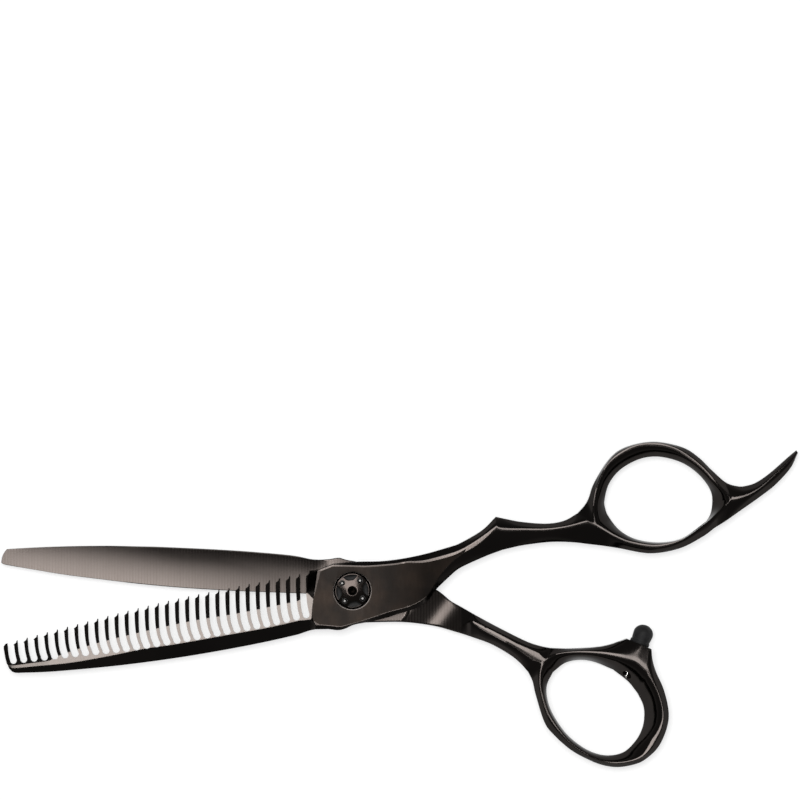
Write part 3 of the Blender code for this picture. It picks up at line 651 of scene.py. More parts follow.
def satin_steel():
    """The pivot block's outer face: the same coating over fine brushing across the blade.

    It is browner and paler round the pivot than towards the shank: painted shade, where the real face
    turns slightly away from the light.
    """
    nodes = Nodes("satin_titanium", (0.012, 0.0095, 0.0085), 1.0, 0.42)
    grain = nodes.noise((9.0, 0.35, 1.0), detail=5.0)
    tone = nodes.noise((0.16, 0.16, 0.16), detail=3.0)
    shift = nodes.add(nodes.remap(grain, 0.3, 0.7, 0.0, 0.25),
                      nodes.remap(tone, 0.35, 0.65, 0.0, 0.75))
    base = nodes.blend(shift, (0.0082, 0.0072, 0.0066), (0.0165, 0.0122, 0.0098))
    x, _ = nodes.millimetres()
    # Painted shade: the colour is dimmed along X from the pivot towards the shank.
    nodes.colour(nodes.dimmed(base, nodes.remap(x, 2.0, 16.0, 1.05, 0.32)))
    nodes.roughness(nodes.remap(grain, 0.3, 0.7, 0.38, 0.46))
    nodes.bump(grain, 0.25, 0.01)
    return nodes.material


def honed_steel():
    """The plain blade's hollow inner face: fine regular honing lines across the blade.

    Its colour is paler towards the tip and along the cutting edge and darker towards the spine
    and the pivot: painted reflection and shade, for the light that the hollow face catches. The
    ride pad's rim and the edges of the satin flat, which share this material, are lighter: painted
    highlights.
    """
    nodes = Nodes("honed_titanium", (0.02, 0.018, 0.017), 1.0, 0.24)
    waves = nodes.put("TexWave", {"Scale": 0.48, "Distortion": 1.0, "Detail": 3.0,
                                  "Detail Scale": 1.5},
                      {"Vector": nodes.stretched((1.0, 0.05, 1.0))}).outputs["Fac"]
    fine = nodes.noise((5.0, 0.12, 1.0), detail=4.0)
    lines = nodes.add(nodes.remap(waves, 0.0, 1.0, 0.0, 0.7),
                      nodes.remap(fine, 0.3, 0.7, 0.0, 0.3))
    base = nodes.blend(lines, (0.0155, 0.0130, 0.0117), (0.0245, 0.0211, 0.0194))
    # The cutting edge is close to the parabola y = 0.0014 (x + 10)^2 - 0.5.
    x, y = nodes.millimetres()
    bend = nodes.maths("POWER", nodes.add(x, 10.0), 2.0)
    above_edge = nodes.maths("SUBTRACT", nodes.add(y, 0.5), nodes.times(bend, 0.0014))
    # Painted reflection and shade: darker with the height above the cutting edge, paler towards the
    # tip.
    steep = nodes.remap(x, -72.0, -38.0, 0.0, 0.10)
    tone = nodes.maths("SUBTRACT", 1.0, nodes.times(steep, above_edge))
    pale = nodes.remap(x, -40.0, -16.0, 1.6, 0.9)
    least = nodes.remap(x, -30.0, -12.0, 0.33, 0.8)
    tone = nodes.times(pale, nodes.maths("MAXIMUM", tone, least))
    # The ride pad ends at PAD_START, at PAD_R and at its rounded lower corner.
    below = nodes.maths("MAXIMUM", nodes.maths("SUBTRACT", PAD_CORNER_Y, y), 0.0)
    bend = nodes.times(nodes.maths("POWER", below, 2.0), PAD_CORNER)
    reach = nodes.add(nodes.radius(), bend)
    bare = nodes.times(nodes.maths("LESS_THAN", reach, PAD_R + 0.1),
                       nodes.maths("GREATER_THAN", x, PAD_START))
    # A painted highlight along the ride pad's rim: its colour is raised there.
    rim = nodes.times(bare, nodes.maths("GREATER_THAN", reach, PAD_R - PAD_RIM_HIGHLIGHT))
    tone = nodes.add(tone, nodes.times(rim, 1.3))
    # Painted highlight on the satin flat's upper edge and its wedge, above a given Y, brightest at
    # both ends.
    corner = nodes.maths("MINIMUM", nodes.remap(x, -7.8, -6.6, 0.0, 1.0),
                         nodes.remap(x, -4.5, -2.0, 1.0, 0.25))
    worn = nodes.add(corner, nodes.remap(x, 14.0, 22.0, 0.0, 1.15))
    worn = nodes.times(nodes.maths("GREATER_THAN", y, SHEEN_LOW_Y), worn)
    nodes.colour(nodes.dimmed(base, nodes.add(tone, worn)))
    nodes.roughness(nodes.remap(lines, 0.2, 0.8, 0.23, 0.27))
    nodes.bump(lines, 0.03, 0.01)
    return nodes.material


def dial_metal():
    """Dark turned face: rings a tenth of a millimetre apart round the pivot's axis."""
    nodes = Nodes("dial_titanium", (0.02, 0.017, 0.016), 1.0, 0.22)
    rings = nodes.put("TexNoise", {"Scale": 14.0, "Detail": 4.0},
                      {"W": nodes.radius()}, noise_dimensions="1D").outputs["Fac"]
    nodes.colour(nodes.blend(nodes.remap(rings, 0.3, 0.7, 0.0, 1.0),
                             (0.0165, 0.0134, 0.0122), (0.026, 0.0215, 0.0195)))
    nodes.roughness(nodes.remap(rings, 0.3, 0.7, 0.10, 0.16))
    nodes.bump(rings, 0.12, 0.008)
    return nodes.material


def grained(name, colour, roughness, tones, rough, scale, detail, relief, span=(0.35, 0.65),
            metallic=1.0):
    """A metal or plastic whose grain changes its tone, its roughness and its relief together."""
    nodes = Nodes(name, colour, metallic, roughness)
    grain = nodes.noise(scale, detail=detail)
    nodes.colour(nodes.blend(nodes.remap(grain, *span, 0.0, 1.0), *tones))
    nodes.roughness(nodes.remap(grain, 0.3, 0.7, *rough))
    nodes.bump(grain, relief, 0.01)
    return nodes.material


def ground_steel_sheen():
    """The comb's middle facet: a ground finish with grain, whose lighter warm grey is a painted
    highlight for the lamp that this nearly level facet faces.
    """
    return grained("ground_steel_sheen", (0.05, 0.044, 0.04), 0.28,
                   ((0.040, 0.0345, 0.0312), (0.060, 0.0532, 0.0492)), (0.24, 0.34),
                   (7.0, 0.25, 1.0), 5.0, 0.3, span=(0.3, 0.7))


def scaled(colour, factor):
    return tuple(value * factor for value in colour)


def dial_part(name, colour, roughness, relief=0.15):
    """Another finish on the dial: grains of tone in a plain dark metal."""
    return grained(name, colour, roughness, (colour, scaled(colour, 1.3)),
                   (roughness * 0.85, roughness * 1.15), (5.0, 5.0, 5.0), 4.0, relief)


def bearing_part(name, colour, roughness, metallic=1.0):
    """Bright or bronze bearing metal, or nylon, with fine wear marks."""
    return grained(name, colour, roughness, (scaled(colour, 0.78), colour),
                   (roughness * 0.8, roughness * 1.3), (3.0, 3.0, 3.0), 6.0, 0.1,
                   metallic=metallic)


def rubber():
    """Moulded rubber: a fine matt texture with slightly dusty high spots."""
    nodes = Nodes("black_rubber", (0.008, 0.008, 0.0085), 0.0, 0.62, specular_ior_level=0.3)
    grit = nodes.noise((7.0, 7.0, 7.0), detail=6.0)
    dust = nodes.noise((0.9, 0.9, 0.9), detail=3.0)
    nodes.colour(nodes.blend(nodes.remap(dust, 0.4, 0.7, 0.0, 1.0),
                             (0.005, 0.005, 0.0055), (0.011, 0.011, 0.0115)))
    nodes.roughness(nodes.remap(grit, 0.3, 0.7, 0.55, 0.75))
    nodes.bump(grit, 0.35, 0.03)
    return nodes.material


# ---------------------------------------------------------------- the front half

def comb_columns():
    """Front and rear columns of the comb blade, from its tip to the shoulder."""
    xs = np.concatenate(([-76.85, -76.5, -76.1], np.arange(-75.6, -11.2, 0.7)))
    ys = [smooth_height(line, xs) for line in (COMB_TIPS, TOP_FACET_LINE, SPINE_FACET_LINE,
                                               COMB_SPINE)]
    facet = dict(radius=0.03, lean=1.0)
    fronts, rears = [], []
    for k, x in enumerate(xs):
        tip, top, low, spine = ((x, y[k]) for y in ys)
        swell = table(x, (-76.85, 0.75), (-63, 1.0), (-30, 1.15), (-9, 1.2))
        tip_z = RIDE_FRONT + COMB_EDGE * swell
        top_z = tip_z + COMB_RISE * (tip[1] - top[1])
        low_z = top_z + COMB_TILT * (top[1] - low[1])
        spine_z = low_z - COMB_DROP * (low[1] - spine[1])
        fronts.append(column(at(tip, tip_z), at(top, top_z), at(low, low_z), at(spine, spine_z),
                             facet, facet))
        rears.append(rear_flat(tip, top, spine))
    line = [at(point, top_z + COMB_TILT * (top[1] - point[1])) for point in SHOULDER_LINE]
    fronts.append(column(at(SHOULDER_TOP, RIDE_FRONT + 0.5), line[0], line[-1],
                         at(SHOULDER_SPINE, spine_z), facet, facet, line[1:-1]))
    rears.append(rear_flat(SHOULDER_TOP, SHOULDER_LINE[0], SHOULDER_SPINE))
    return fronts, rears


def rear_flat(upper, crest, lower):
    """A flat column on the front half's inner face."""
    edges = [at(point, RIDE_FRONT) for point in (upper, crest, lower)]
    return column(edges[0], edges[1], edges[1], edges[2], {}, {})


def front_trunk():
    """Front and rear columns of the pivot block and the shank, up to the fork."""
    counts = (5, 64, 34, 4)
    upper = rails(FRONT_UPPER, counts)
    crest = rails(FRONT_CREST, counts)
    lower = rails(FRONT_LOWER, counts)
    flat = front_flat(crest, counts)
    fronts, rears = [], []
    for index, (up, top, bottom, low) in enumerate(zip(upper, crest, flat, lower)):
        x = top[0]
        up_z = table(x, (-7.6, 6.45), (12, 6.45), (24, 5.9), (31.7, 5.2), (52, RING_WALL[0]))
        low_z = table(x, (-7.6, 6.4), (14, 6.2), (20, 5.6), (31.7, 4.9), (52, RING_WALL[0]))
        top_z = table(x, (26, FRONT_FACE), (42, 6.65), (54, 6.6))
        sharp = ramp(x, 14, 30)
        brow = table(x, (28, 0.02), (32, 0.2))
        above = dict(radius=0.12 + 0.38 * sharp, lean=1.0 - 0.2 * sharp, brow=brow)
        below = dict(radius=0.12 + 0.5 * sharp, lean=1.0 - 0.3 * sharp, power=3.0, brow=brow)
        if index == 0:
            inner = [at(point, top_z) for point in FACE_EDGE[1:-1]]
        else:
            inner = edged_flat(at(top, top_z), at(bottom, top_z))
        fronts.append(column(at(up, up_z), at(top, top_z), at(bottom, top_z), at(low, low_z),
                             above, below, inner))
        grown = ramp(x, 20, 47)
        back_z = RIDE_FRONT + (RING_BOTTOM - RIDE_FRONT) * grown
        wall_z = RIDE_FRONT + (RING_WALL[1] - RIDE_FRONT) * grown
        shape = dict(radius=0.2 + 0.4 * grown, lean=0.6)
        rears.append(column(at(up, wall_z), at(top, back_z), at(top, back_z), at(low, wall_z),
                            shape, shape))
    return fronts, rears


def front_flat(crest, counts):
    """The lower edge of the satin flat, which narrows to a wedge and joins the crest."""
    line = rails(FRONT_FLAT, counts)
    return np.vstack([line, crest[len(line):]])


def edged_flat(top, bottom):
    """Points across the satin flat, with a strip along each of its two edges for a painted highlight.
    """
    width = np.linalg.norm(bottom - top)
    if width < 1e-6:
        return [top] * (FLAT_ROWS - 1)
    first = min(table(top[0], *EDGE_SHEEN_WIDTH), 0.35 * width) / width
    last = 1 - min(LOWER_SHEEN_WIDTH, 0.2 * width) / width
    return [top + (bottom - top) * share for share in np.linspace(first, last, FLAT_ROWS - 1)]


def ring_arm(shell, outer, crest, hole, starts, ends, edges, plain=None, brows=None,
             outer_brows=None):
    """One arm of a ring: outer and inner flanks on both sides, and the walls at both outlines.

    starts and ends are the front and rear outer columns that the arm shares with its neighbours,
    from edge to crest; ends may hold only crest heights. edges gives each station's front and
    rear heights at the outer outline. plain tells how far each station's inner flank is one plain
    slope from the crest to low on the hole's wall; brows and outer_brows give the widths of the
    brows inside and outside its crest. The last outer columns are returned.
    """
    last = len(outer) - 1
    if plain is None:
        plain = [1 - ramp(min(k, last - k), 2, BLEND_STEPS + 4) for k in range(last + 1)]
    if brows is None:
        brows = [INNER_BROW] * (last + 1)
    if outer_brows is None:
        outer_brows = [RING_BROW] * (last + 1)
    sides = []
    for side, settled in ((0, RING_TOP), (1, RING_BOTTOM)):
        whole = isinstance(ends[side], list)
        first_z = starts[side][-1][2]
        last_z = ends[side][-1][2] if whole else ends[side]
        outside, inside = [], []
        for k in range(last + 1):
            crest_z = settled + (first_z - settled) * (1 - ramp(k, 0, BLEND_STEPS)) \
                + (last_z - settled) * (1 - ramp(last - k, 0, BLEND_STEPS))
            top = at(crest[k], crest_z)
            rounded, change = INNER_WALL[side]
            hole_z = RING_MIDDLE + (rounded + change * plain[k])
            fade = 1.0 if whole else ramp(last - k, 3, 12)
            outside.append(flank(at(outer[k], edges[k][side]), top,
                                 brow=outer_brows[k] * fade, **RING_SHAPE))
            inside.append(flank(at(hole[k], hole_z), top, 0.5 + 1.8 * plain[k],
                                0.55 + 0.45 * plain[k], 2.8, brows[k] * fade))
        outside[0] = starts[side]
        if whole:
            outside[-1] = ends[side]
        shell.grid(outside, POLISHED)
        shell.grid(inside, POLISHED)
        sides.append((outside, inside))
    for which in (0, 1):
        shell.wall(sides[0][which], sides[1][which], 0)
    return [sides[side][0][-1] for side in (0, 1)]


def upper_part(line):
    """The part of a column from its upper edge to its first crest."""
    return line[:FLANK_ROWS + 1]


def lower_part(line):
    """The part of a column from its last crest to its lower edge, turned to run edge first."""
    return line[-FLANK_ROWS - 1:][::-1]


def front_half(materials):
    """The comb blade, pivot block, shank, finger ring and tang: one piece of ground steel."""
    shell = Shell()
    comb_fronts, comb_rears = comb_columns()
    trunk_fronts, trunk_rears = front_trunk()
    fronts, rears = comb_fronts + trunk_fronts, comb_rears + trunk_rears

    def comb_tag(near, far, row):
        step = row == FLANK_ROWS and far is trunk_fronts[0]
        return GROUND if FLANK_ROWS <= row < FLANK_ROWS + FLAT_ROWS and not step else POLISHED

    def trunk_tag(near, far, row):
        if not FLANK_ROWS <= row < FLANK_ROWS + FLAT_ROWS:
            return POLISHED
        # worn marks the flat's edge strips and its wedge end, which take the lighter honed material: a
        # painted highlight.
        lowest = row == FLANK_ROWS + FLAT_ROWS - 1 and near[row][0] < LOWER_SHEEN_END
        worn = row == FLANK_ROWS or lowest or near[FLANK_ROWS][0] > WEDGE_START
        return HONED if worn else SATIN

    shell.grid(comb_fronts + trunk_fronts[:1], comb_tag)
    shell.grid(trunk_fronts, trunk_tag)
    shell.grid(rears, lambda near, far, row: HONED if near[row][0] < FACE_EDGE[0][0]
               else (SATIN if near[row][0] < SHANK_START else POLISHED))
    shell.close(fronts, rears, 0)

    fork = (fronts[-1], rears[-1])
    count = 84
    brows = [INNER_BROW + TOP_BROW * max(0.0, 1 - abs(point[0] - TOP_BROW_X) / TOP_BROW_REACH)
             for point in rail(FINGER_OVER_CREST, count)]
    over = finger_arm(shell, count, [upper_part(line) for line in fork],
                      (FINGER_OVER, FRONT_UPPER[3][0], TANG_UPPER[1]), FINGER_OVER_CREST,
                      (FINGER_OVER_HOLE, FINGER_UNDER_HOLE[1], FINGER_UNDER_HOLE[-2]), brows)
    under = finger_arm(shell, 72, [lower_part(line) for line in fork],
                       (FINGER_UNDER, FRONT_LOWER[3][0], TANG_LOWER[1]), FINGER_UNDER_CREST,
                       (FINGER_UNDER_HOLE, FINGER_OVER_HOLE[1], FINGER_OVER_HOLE[-2]))
    tang(shell, over, under)
    return shell.build("comb_half", materials)


def finger_arm(shell, count, starts, outer, crest, hole, brows=None):
    """An arm of the finger ring, whose outline's heights are blended in from its first column.

    outer and hole are each an outline and its neighbours at both ends.
    """
    edges = []
    for k in range(count + 1):
        grown = ramp(k, 0, BLEND_STEPS)
        edges.append([start[0][2] + (wall_z - start[0][2]) * grown
                      for start, wall_z in zip(starts, RING_WALL)])
    rails_across = (rail(outer[0], count, *outer[1:]), rail(crest, count),
                    rail(hole[0], count, *hole[1:]))
    return ring_arm(shell, *rails_across, starts, RING_MEET, edges, brows=brows)


def tang(shell, over, under, count=44):
    """The finger rest, which thins and narrows from the ring to its tip."""
    upper = rail(TANG_UPPER, count, FINGER_OVER[-2])
    crest = rail(TANG_CREST, count)
    lower = rail(TANG_LOWER, count, FINGER_UNDER[-2])
    faces = []
    for side, sign in ((0, 1), (1, -1)):
        lines = [over[side][:-1] + [over[side][-1]] * FLAT_ROWS + under[side][::-1]]
        half = abs(over[side][-1][2] - RING_MIDDLE)
        edge = abs(over[side][0][2] - RING_MIDDLE)
        for k in range(1, count + 1):
            t = k / count
            crest_z = RING_MIDDLE + sign * (TANG_TIP + (half - TANG_TIP) * (1 - t ** 1.6))
            edge_z = RING_MIDDLE + sign * edge * (1 - 0.8 * t)
            top = at(crest[k], crest_z)
            shape = dict(brow=RING_BROW * (1 - 0.6 * min(1.0, 3 * t)), **RING_SHAPE)
            lines.append(column(at(upper[k], edge_z), top, top, at(lower[k], edge_z),
                                shape, shape))
        shell.grid(lines, POLISHED)
        faces.append(lines)
    shell.close(faces[0], faces[1], -1)


def slot_outline(index):
    """One gap of the comb, from its round root to above the prong of the next tooth.

    Both walls lean to the right at the foot and straighten upwards; the right wall ends at the
    next tooth's shoulder, and the outline then follows that tooth's slanted crest to its prong.
    """
    left_tip = FIRST_TIP + TOOTH_PITCH * index
    next_tip = left_tip + TOOTH_PITCH
    middle = (TEETH - 1) / 2
    lean = 1 - SHORT_SWING * ((index - middle) / middle) ** 2
    root_y = table(left_tip + TOOTH_PITCH * 0.8, *SLOT_ROOTS)
    tip_y = table(left_tip, *SLOT_TIPS)
    next_y = table(next_tip, *SLOT_TIPS)

    def wall(height, side):
        reach, fade = LEFT_SWING if side == "left" else RIGHT_SWING
        swing = lean * reach * math.exp(-(height - ROOT_ARC) / fade)
        return left_tip + swing if side == "left" else next_tip - TOOTH_TOP + swing

    shoulder_h = next_y + TOOTH_CREST[0][1] - root_y
    heights = np.linspace(ROOT_ARC, shoulder_h, 14)
    foot_left, foot_right = wall(ROOT_ARC, "left"), wall(ROOT_ARC, "right")
    radius = (foot_right - foot_left) / 2
    arc = [(foot_left + radius * (1 - math.cos(a)), root_y + ROOT_ARC * (1 - math.sin(a)))
           for a in np.linspace(0, math.pi, 17)[1:-1]]
    top = max(tip_y, next_y) + 1.5
    left = [(left_tip, top), (left_tip, tip_y - 0.3)]
    left += [(wall(h, "left"), root_y + h) for h in heights[:-1][::-1]]
    right = [(wall(h, "right"), root_y + h) for h in heights[:-1]]
    crest = [(next_tip + dx, next_y + dy) for dx, dy in TOOTH_CREST]
    return left + arc + right + crest + [(next_tip + TOOTH_CREST[-1][0], top)]


def cut_front_half(half):
    """The comb's slots, the bush's bore and the dial's chamfered counterbore."""
    slots = prism("slots", [slot_outline(i) for i in range(TEETH)], RIDE_FRONT - 1,
                  FRONT_FACE + 1)
    bore = cylinder("bore", BUSH_R + FIT_GAP, RIDE_FRONT - 1, FRONT_FACE + 1)
    wide = COUNTERBORE_R + 2 * RIM_WIDTH
    pocket = turned("pocket", ((0, FRONT_FACE + 1), (wide, FRONT_FACE + 1),
                               (wide, FRONT_FACE + RIM_DEPTH), (COUNTERBORE_R, FRONT_FACE - RIM_DEPTH),
                               (COUNTERBORE_R, COUNTERBORE_FLOOR), (0, COUNTERBORE_FLOOR)))
    boolean(half, [slots, bore, pocket])
    return shade(half)


# ---------------------------------------------------------------- the rear half

def blade_columns():
    """Front (inner) and rear (outer) columns of the plain blade and its block."""
    xs = np.concatenate(([-77.39, -77.25, -77.0, -76.7, -76.2], np.arange(-75.6, -11.0, 0.7),
                         np.arange(-10.9, 10.4, 0.5), np.arange(10.6, 13.2, 0.1),
                         np.arange(13.4, 23.6, 0.5), [24.0]))
    spines = smooth_height(BLADE_SPINE, xs)
    edges = smooth_height(BLADE_EDGE, xs)
    crests = np.where(xs > SCOOP_CREST[0][0], smooth_height(SCOOP_CREST, xs), edges)
    fronts, rears = [], []
    for x, up, crest_y, low in zip(xs, spines, crests, edges):
        hollow = table(x, (-77.4, 0.0), (-72, 0.05), (-40, 0.22), (-12, 0.28), (-6.0, 0.28),
                       (-5.2, 0.0))
        rim = table(x, (-77.4, 0.02), (-76, 0.06), (-9, 0.06), (-6, 0.12), (24, 0.3))
        fronts.append(hollow_face(x, up, max(crest_y, low), low, hollow, rim))
        thick = table(x, (-77.4, 0.8), (-75.8, 1.2), (-40, 1.9), (-11, 2.6), (-8, 3.15))
        back = RIDE_REAR - thick
        spine_w = table(x, (-77.4, 0.08), (-75.8, 0.8), (-40, 1.1), (-8, 1.2), (24, 1.5))
        edge_w = table(x, (-77.4, 0.08), (-75.8, 1.3), (-40, 2.6), (-11, 3.0), (-8, 1.2),
                       (24, 1.5))
        spine_z = RIDE_REAR - thick * table(x, (-77.4, 0.8), (-40, 0.55), (24, 0.62))
        edge_z = RIDE_REAR - table(x, (-77.4, 0.3), (-40, 0.18), (-11, 0.2), (-8, 1.9),
                                   (24, 2.0))
        facet = dict(radius=0.15, lean=0.95)
        rears.append(column(at((x, up), spine_z), at((x, up - spine_w), back),
                            at((x, low + edge_w), back), at((x, low), edge_z), facet, facet))
    return fronts, rears


def hollow_face(x, up, crest_y, low, hollow, rim):
    """A column across an inner face that is ground hollow, with a small rounding at both edges.

    Towards the shank the column's middle rows gather on the crest.
    """
    total = 2 * FLANK_ROWS + FLAT_ROWS
    gather = ramp(x, 15, 22)
    out = []
    for row in range(total + 1):
        v = (1 - math.cos(math.pi * row / total)) / 2
        above = min(row / FLANK_ROWS, 1.0)
        below = max((row - FLANK_ROWS - FLAT_ROWS) / FLANK_ROWS, 0.0)
        crested = up + (crest_y - up) * above if row <= FLANK_ROWS + FLAT_ROWS \
            else crest_y + (low - crest_y) * below
        y = (up + (low - up) * v) * (1 - gather) + crested * gather
        depth = hollow * 4 * v * (1 - v)
        nearest = min(abs(up - y), abs(y - low))
        edge = EDGE_ROUNDING * max(0.0, 1 - nearest / rim) ** 2
        bevel = SCOOP_BEVEL * max(0.0, crest_y - y)
        out.append(at((x, y), inner_height(x, max(y, crest_y)) - depth - edge - bevel))
    return out


def slope_out(distance, steepest):
    """Height gained over a distance by a parabola that turns into a straight slope."""
    bend = min(distance, steepest / (2 * SCOOP_CURVE))
    return SCOOP_CURVE * bend * bend + steepest * (distance - bend)


def scoop(x, y):
    """Height of the slanted scoop between the ride pad and the thumb shank."""
    along = x - SCOOP_SLANT * (y - SCOOP_Y) - SCOOP_MIDDLE
    rim = RIDE_REAR - RELIEF_DEPTH
    bottom = rim - slope_out(SCOOP_MIDDLE - PAD_R, SCOOP_FALL)
    if along < 0:
        return min(bottom + slope_out(-along, SCOOP_FALL), rim)
    return bottom + slope_out(along, SCOOP_RISE)


def inner_height(x, y):
    """Height of the rear half's inner face: flat to the ride pad's rim, then the scoop."""
    if x < 0:
        return RIDE_REAR
    reach = math.hypot(x, y) + PAD_CORNER * max(0.0, PAD_CORNER_Y - y) ** 2
    step = ramp(reach, PAD_R, PAD_R + PAD_STEP)
    return RIDE_REAR * (1 - step) + scoop(x, y) * step


def rear_trunk(count=60):
    """Front and rear columns of the thumb shank, which rises out of the scoop."""
    upper, crest, lower = (rail(line, count) for line in (REAR_UPPER, REAR_CREST, REAR_LOWER))
    fronts, rears = [], []
    for k in range(1, count + 1):
        up, top, low = upper[k], crest[k], lower[k]
        x = top[0]
        shank = ramp(x, 24.5, 30)
        top_z = table(x, (24, 4.1), (25, 4.75), (26.2, 6.15), (28, 6.32), (34, SHANK_TOP))
        up_z = table(x, (24, 2.9), (28, 3.6), (34, 4.7), (42, RING_WALL[0]))
        low_z = table(x, (24, 3.0), (26, 4.0), (30, 4.8), (42, RING_WALL[0]))
        brow = table(x, *THUMB_BROW)
        shape = dict(radius=0.15 + 0.45 * shank, lean=0.8, brow=brow)
        line = column(at(up, up_z), at(top, top_z), at(top, top_z), at(low, low_z), shape, shape)
        for row in range(FLANK_ROWS - 2):
            held = min(scoop(line[row][0], line[row][1]), SHANK_TOP)
            line[row][2] = held * (1 - shank) + line[row][2] * shank
        fronts.append(line)
        grown = ramp(x, 24, 42)
        back_z = REAR_FACE * (1 - grown) + 0.15 * grown
        wall_up = table(x, (24, 1.5), (42, RING_WALL[1]))
        middle_up = up + (low - up) * (0.28 + 0.2 * grown)
        middle_low = up + (low - up) * (0.72 - 0.2 * grown)
        middle_up = middle_up + (top - middle_up) * grown
        middle_low = middle_low + (top - middle_low) * grown
        back = dict(radius=0.15 + 0.3 * grown, lean=0.95 - 0.3 * grown)
        rears.append(column(at(up, wall_up), at(middle_up, back_z), at(middle_low, back_z),
                            at(low, wall_up), back, back))
    return fronts, rears


def rear_half(materials):
    """The plain blade, pivot block, shank, thumb ring and boss: one piece of ground steel."""
    shell = Shell()
    blade_fronts, blade_rears = blade_columns()
    shank_fronts, shank_rears = rear_trunk()
    shell.grid(blade_fronts, HONED)
    shell.grid([blade_fronts[-1]] + shank_fronts, POLISHED)
    shell.grid(blade_rears,
               lambda near, far, row: SATIN if near[row][0] > BLOCK_START else POLISHED)
    shell.grid([blade_rears[-1]] + shank_rears, POLISHED)
    fronts, rears = blade_fronts + shank_fronts, blade_rears + shank_rears
    shell.close(fronts, rears, 0)

    counts = (34, 12, 130)
    outer, crest, hole = (rails(line, counts) for line in (THUMB_OUTER, THUMB_CREST, THUMB_HOLE))
    starts = [upper_part(line) for line in (fronts[-1], rears[-1])]
    ends = [lower_part(line) for line in (fronts[-1], rears[-1])]
    edges, plain, brows, outer_brows = [], [], [], []
    for k in range(len(outer)):
        off_boss = abs(k - counts[0] - counts[1] / 2)
        off_corner = abs(k - counts[0] - counts[1] * 0.8)
        near_boss = 1 - ramp(off_boss, counts[1] * 0.5, counts[1] * 0.5 + 14)
        near_corner = 1 - ramp(off_corner, 2, 12)
        edges.append((RING_WALL[0] + CORNER_LIFT * near_corner,
                      RING_WALL[1] - BOSS_DROP * near_boss))
        plain.append(1 - ramp(off_boss, counts[1] * 0.5 + 18, counts[1] * 0.5 + 34))
        off_glint = math.dist(crest[k], GLINT)
        quiet = 1.0 - max(0.0, 1 - math.dist(crest[k], QUIET_MIDDLE) / QUIET_R) ** 0.5
        brows.append(INNER_BROW * quiet + GLINT_BROW * max(0.0, 1 - off_glint / GLINT_R))
        outer_brows.append(RING_BROW * quiet)
    ring_arm(shell, outer, crest, hole, starts, ends, edges, plain, brows, outer_brows)
    return shell.build("plain_half", materials)


def cut_rear_half(half):
    """The stud's recess and hole, and the bore of the bumper's stem."""
    recess = cylinder("recess", STUD_HEAD_R + FIT_GAP, REAR_FACE - 1, STUD_HEAD_T + FIT_GAP)
    keyway = cylinder("keyway", STUD_R + FIT_GAP, REAR_FACE - 1, RIDE_REAR + 1)
    stem = lay_along(cylinder("stem", STEM_R + FIT_GAP, -12, 1, 40), BUMPER_BASE, BUMPER_AXIS,
                     RING_MIDDLE)
    boolean(half, [recess, keyway, stem])
    return shade(half)


# ---------------------------------------------------------------- pivot and bumper

def on_circle(radius, degrees):
    angle = math.radians(degrees)
    return radius * math.cos(angle), radius * math.sin(angle)


def circle(centre, radius, count):
    return [(centre[0] + radius * math.cos(a), centre[1] + radius * math.sin(a))
            for a in np.linspace(0, 2 * math.pi, count, endpoint=False)]


def scallop(degrees, reach=3.62, centre_r=4.02, radius=1.72, count=14):
    """A lens-shaped pocket between the dial's rim circle and a circle centred beyond it."""
    half = math.acos((centre_r ** 2 + reach ** 2 - radius ** 2) / (2 * centre_r * reach))
    inner = math.acos((centre_r ** 2 + radius ** 2 - reach ** 2) / (2 * centre_r * radius))
    rim = [on_circle(reach, degrees + math.degrees(a)) for a in np.linspace(-half, half, count)]
    middle = on_circle(centre_r, degrees)
    back = math.radians(degrees + 180)
    curve = [(middle[0] + radius * math.cos(back + a), middle[1] + radius * math.sin(back + a))
             for a in np.linspace(-inner, inner, count)[1:-1]]
    return rim + curve


def painted(item, index):
    """Give a cutter's faces, and so the faces that it cuts, one material index."""
    for face in item.data.polygons:
        face.material_index = index
    return item


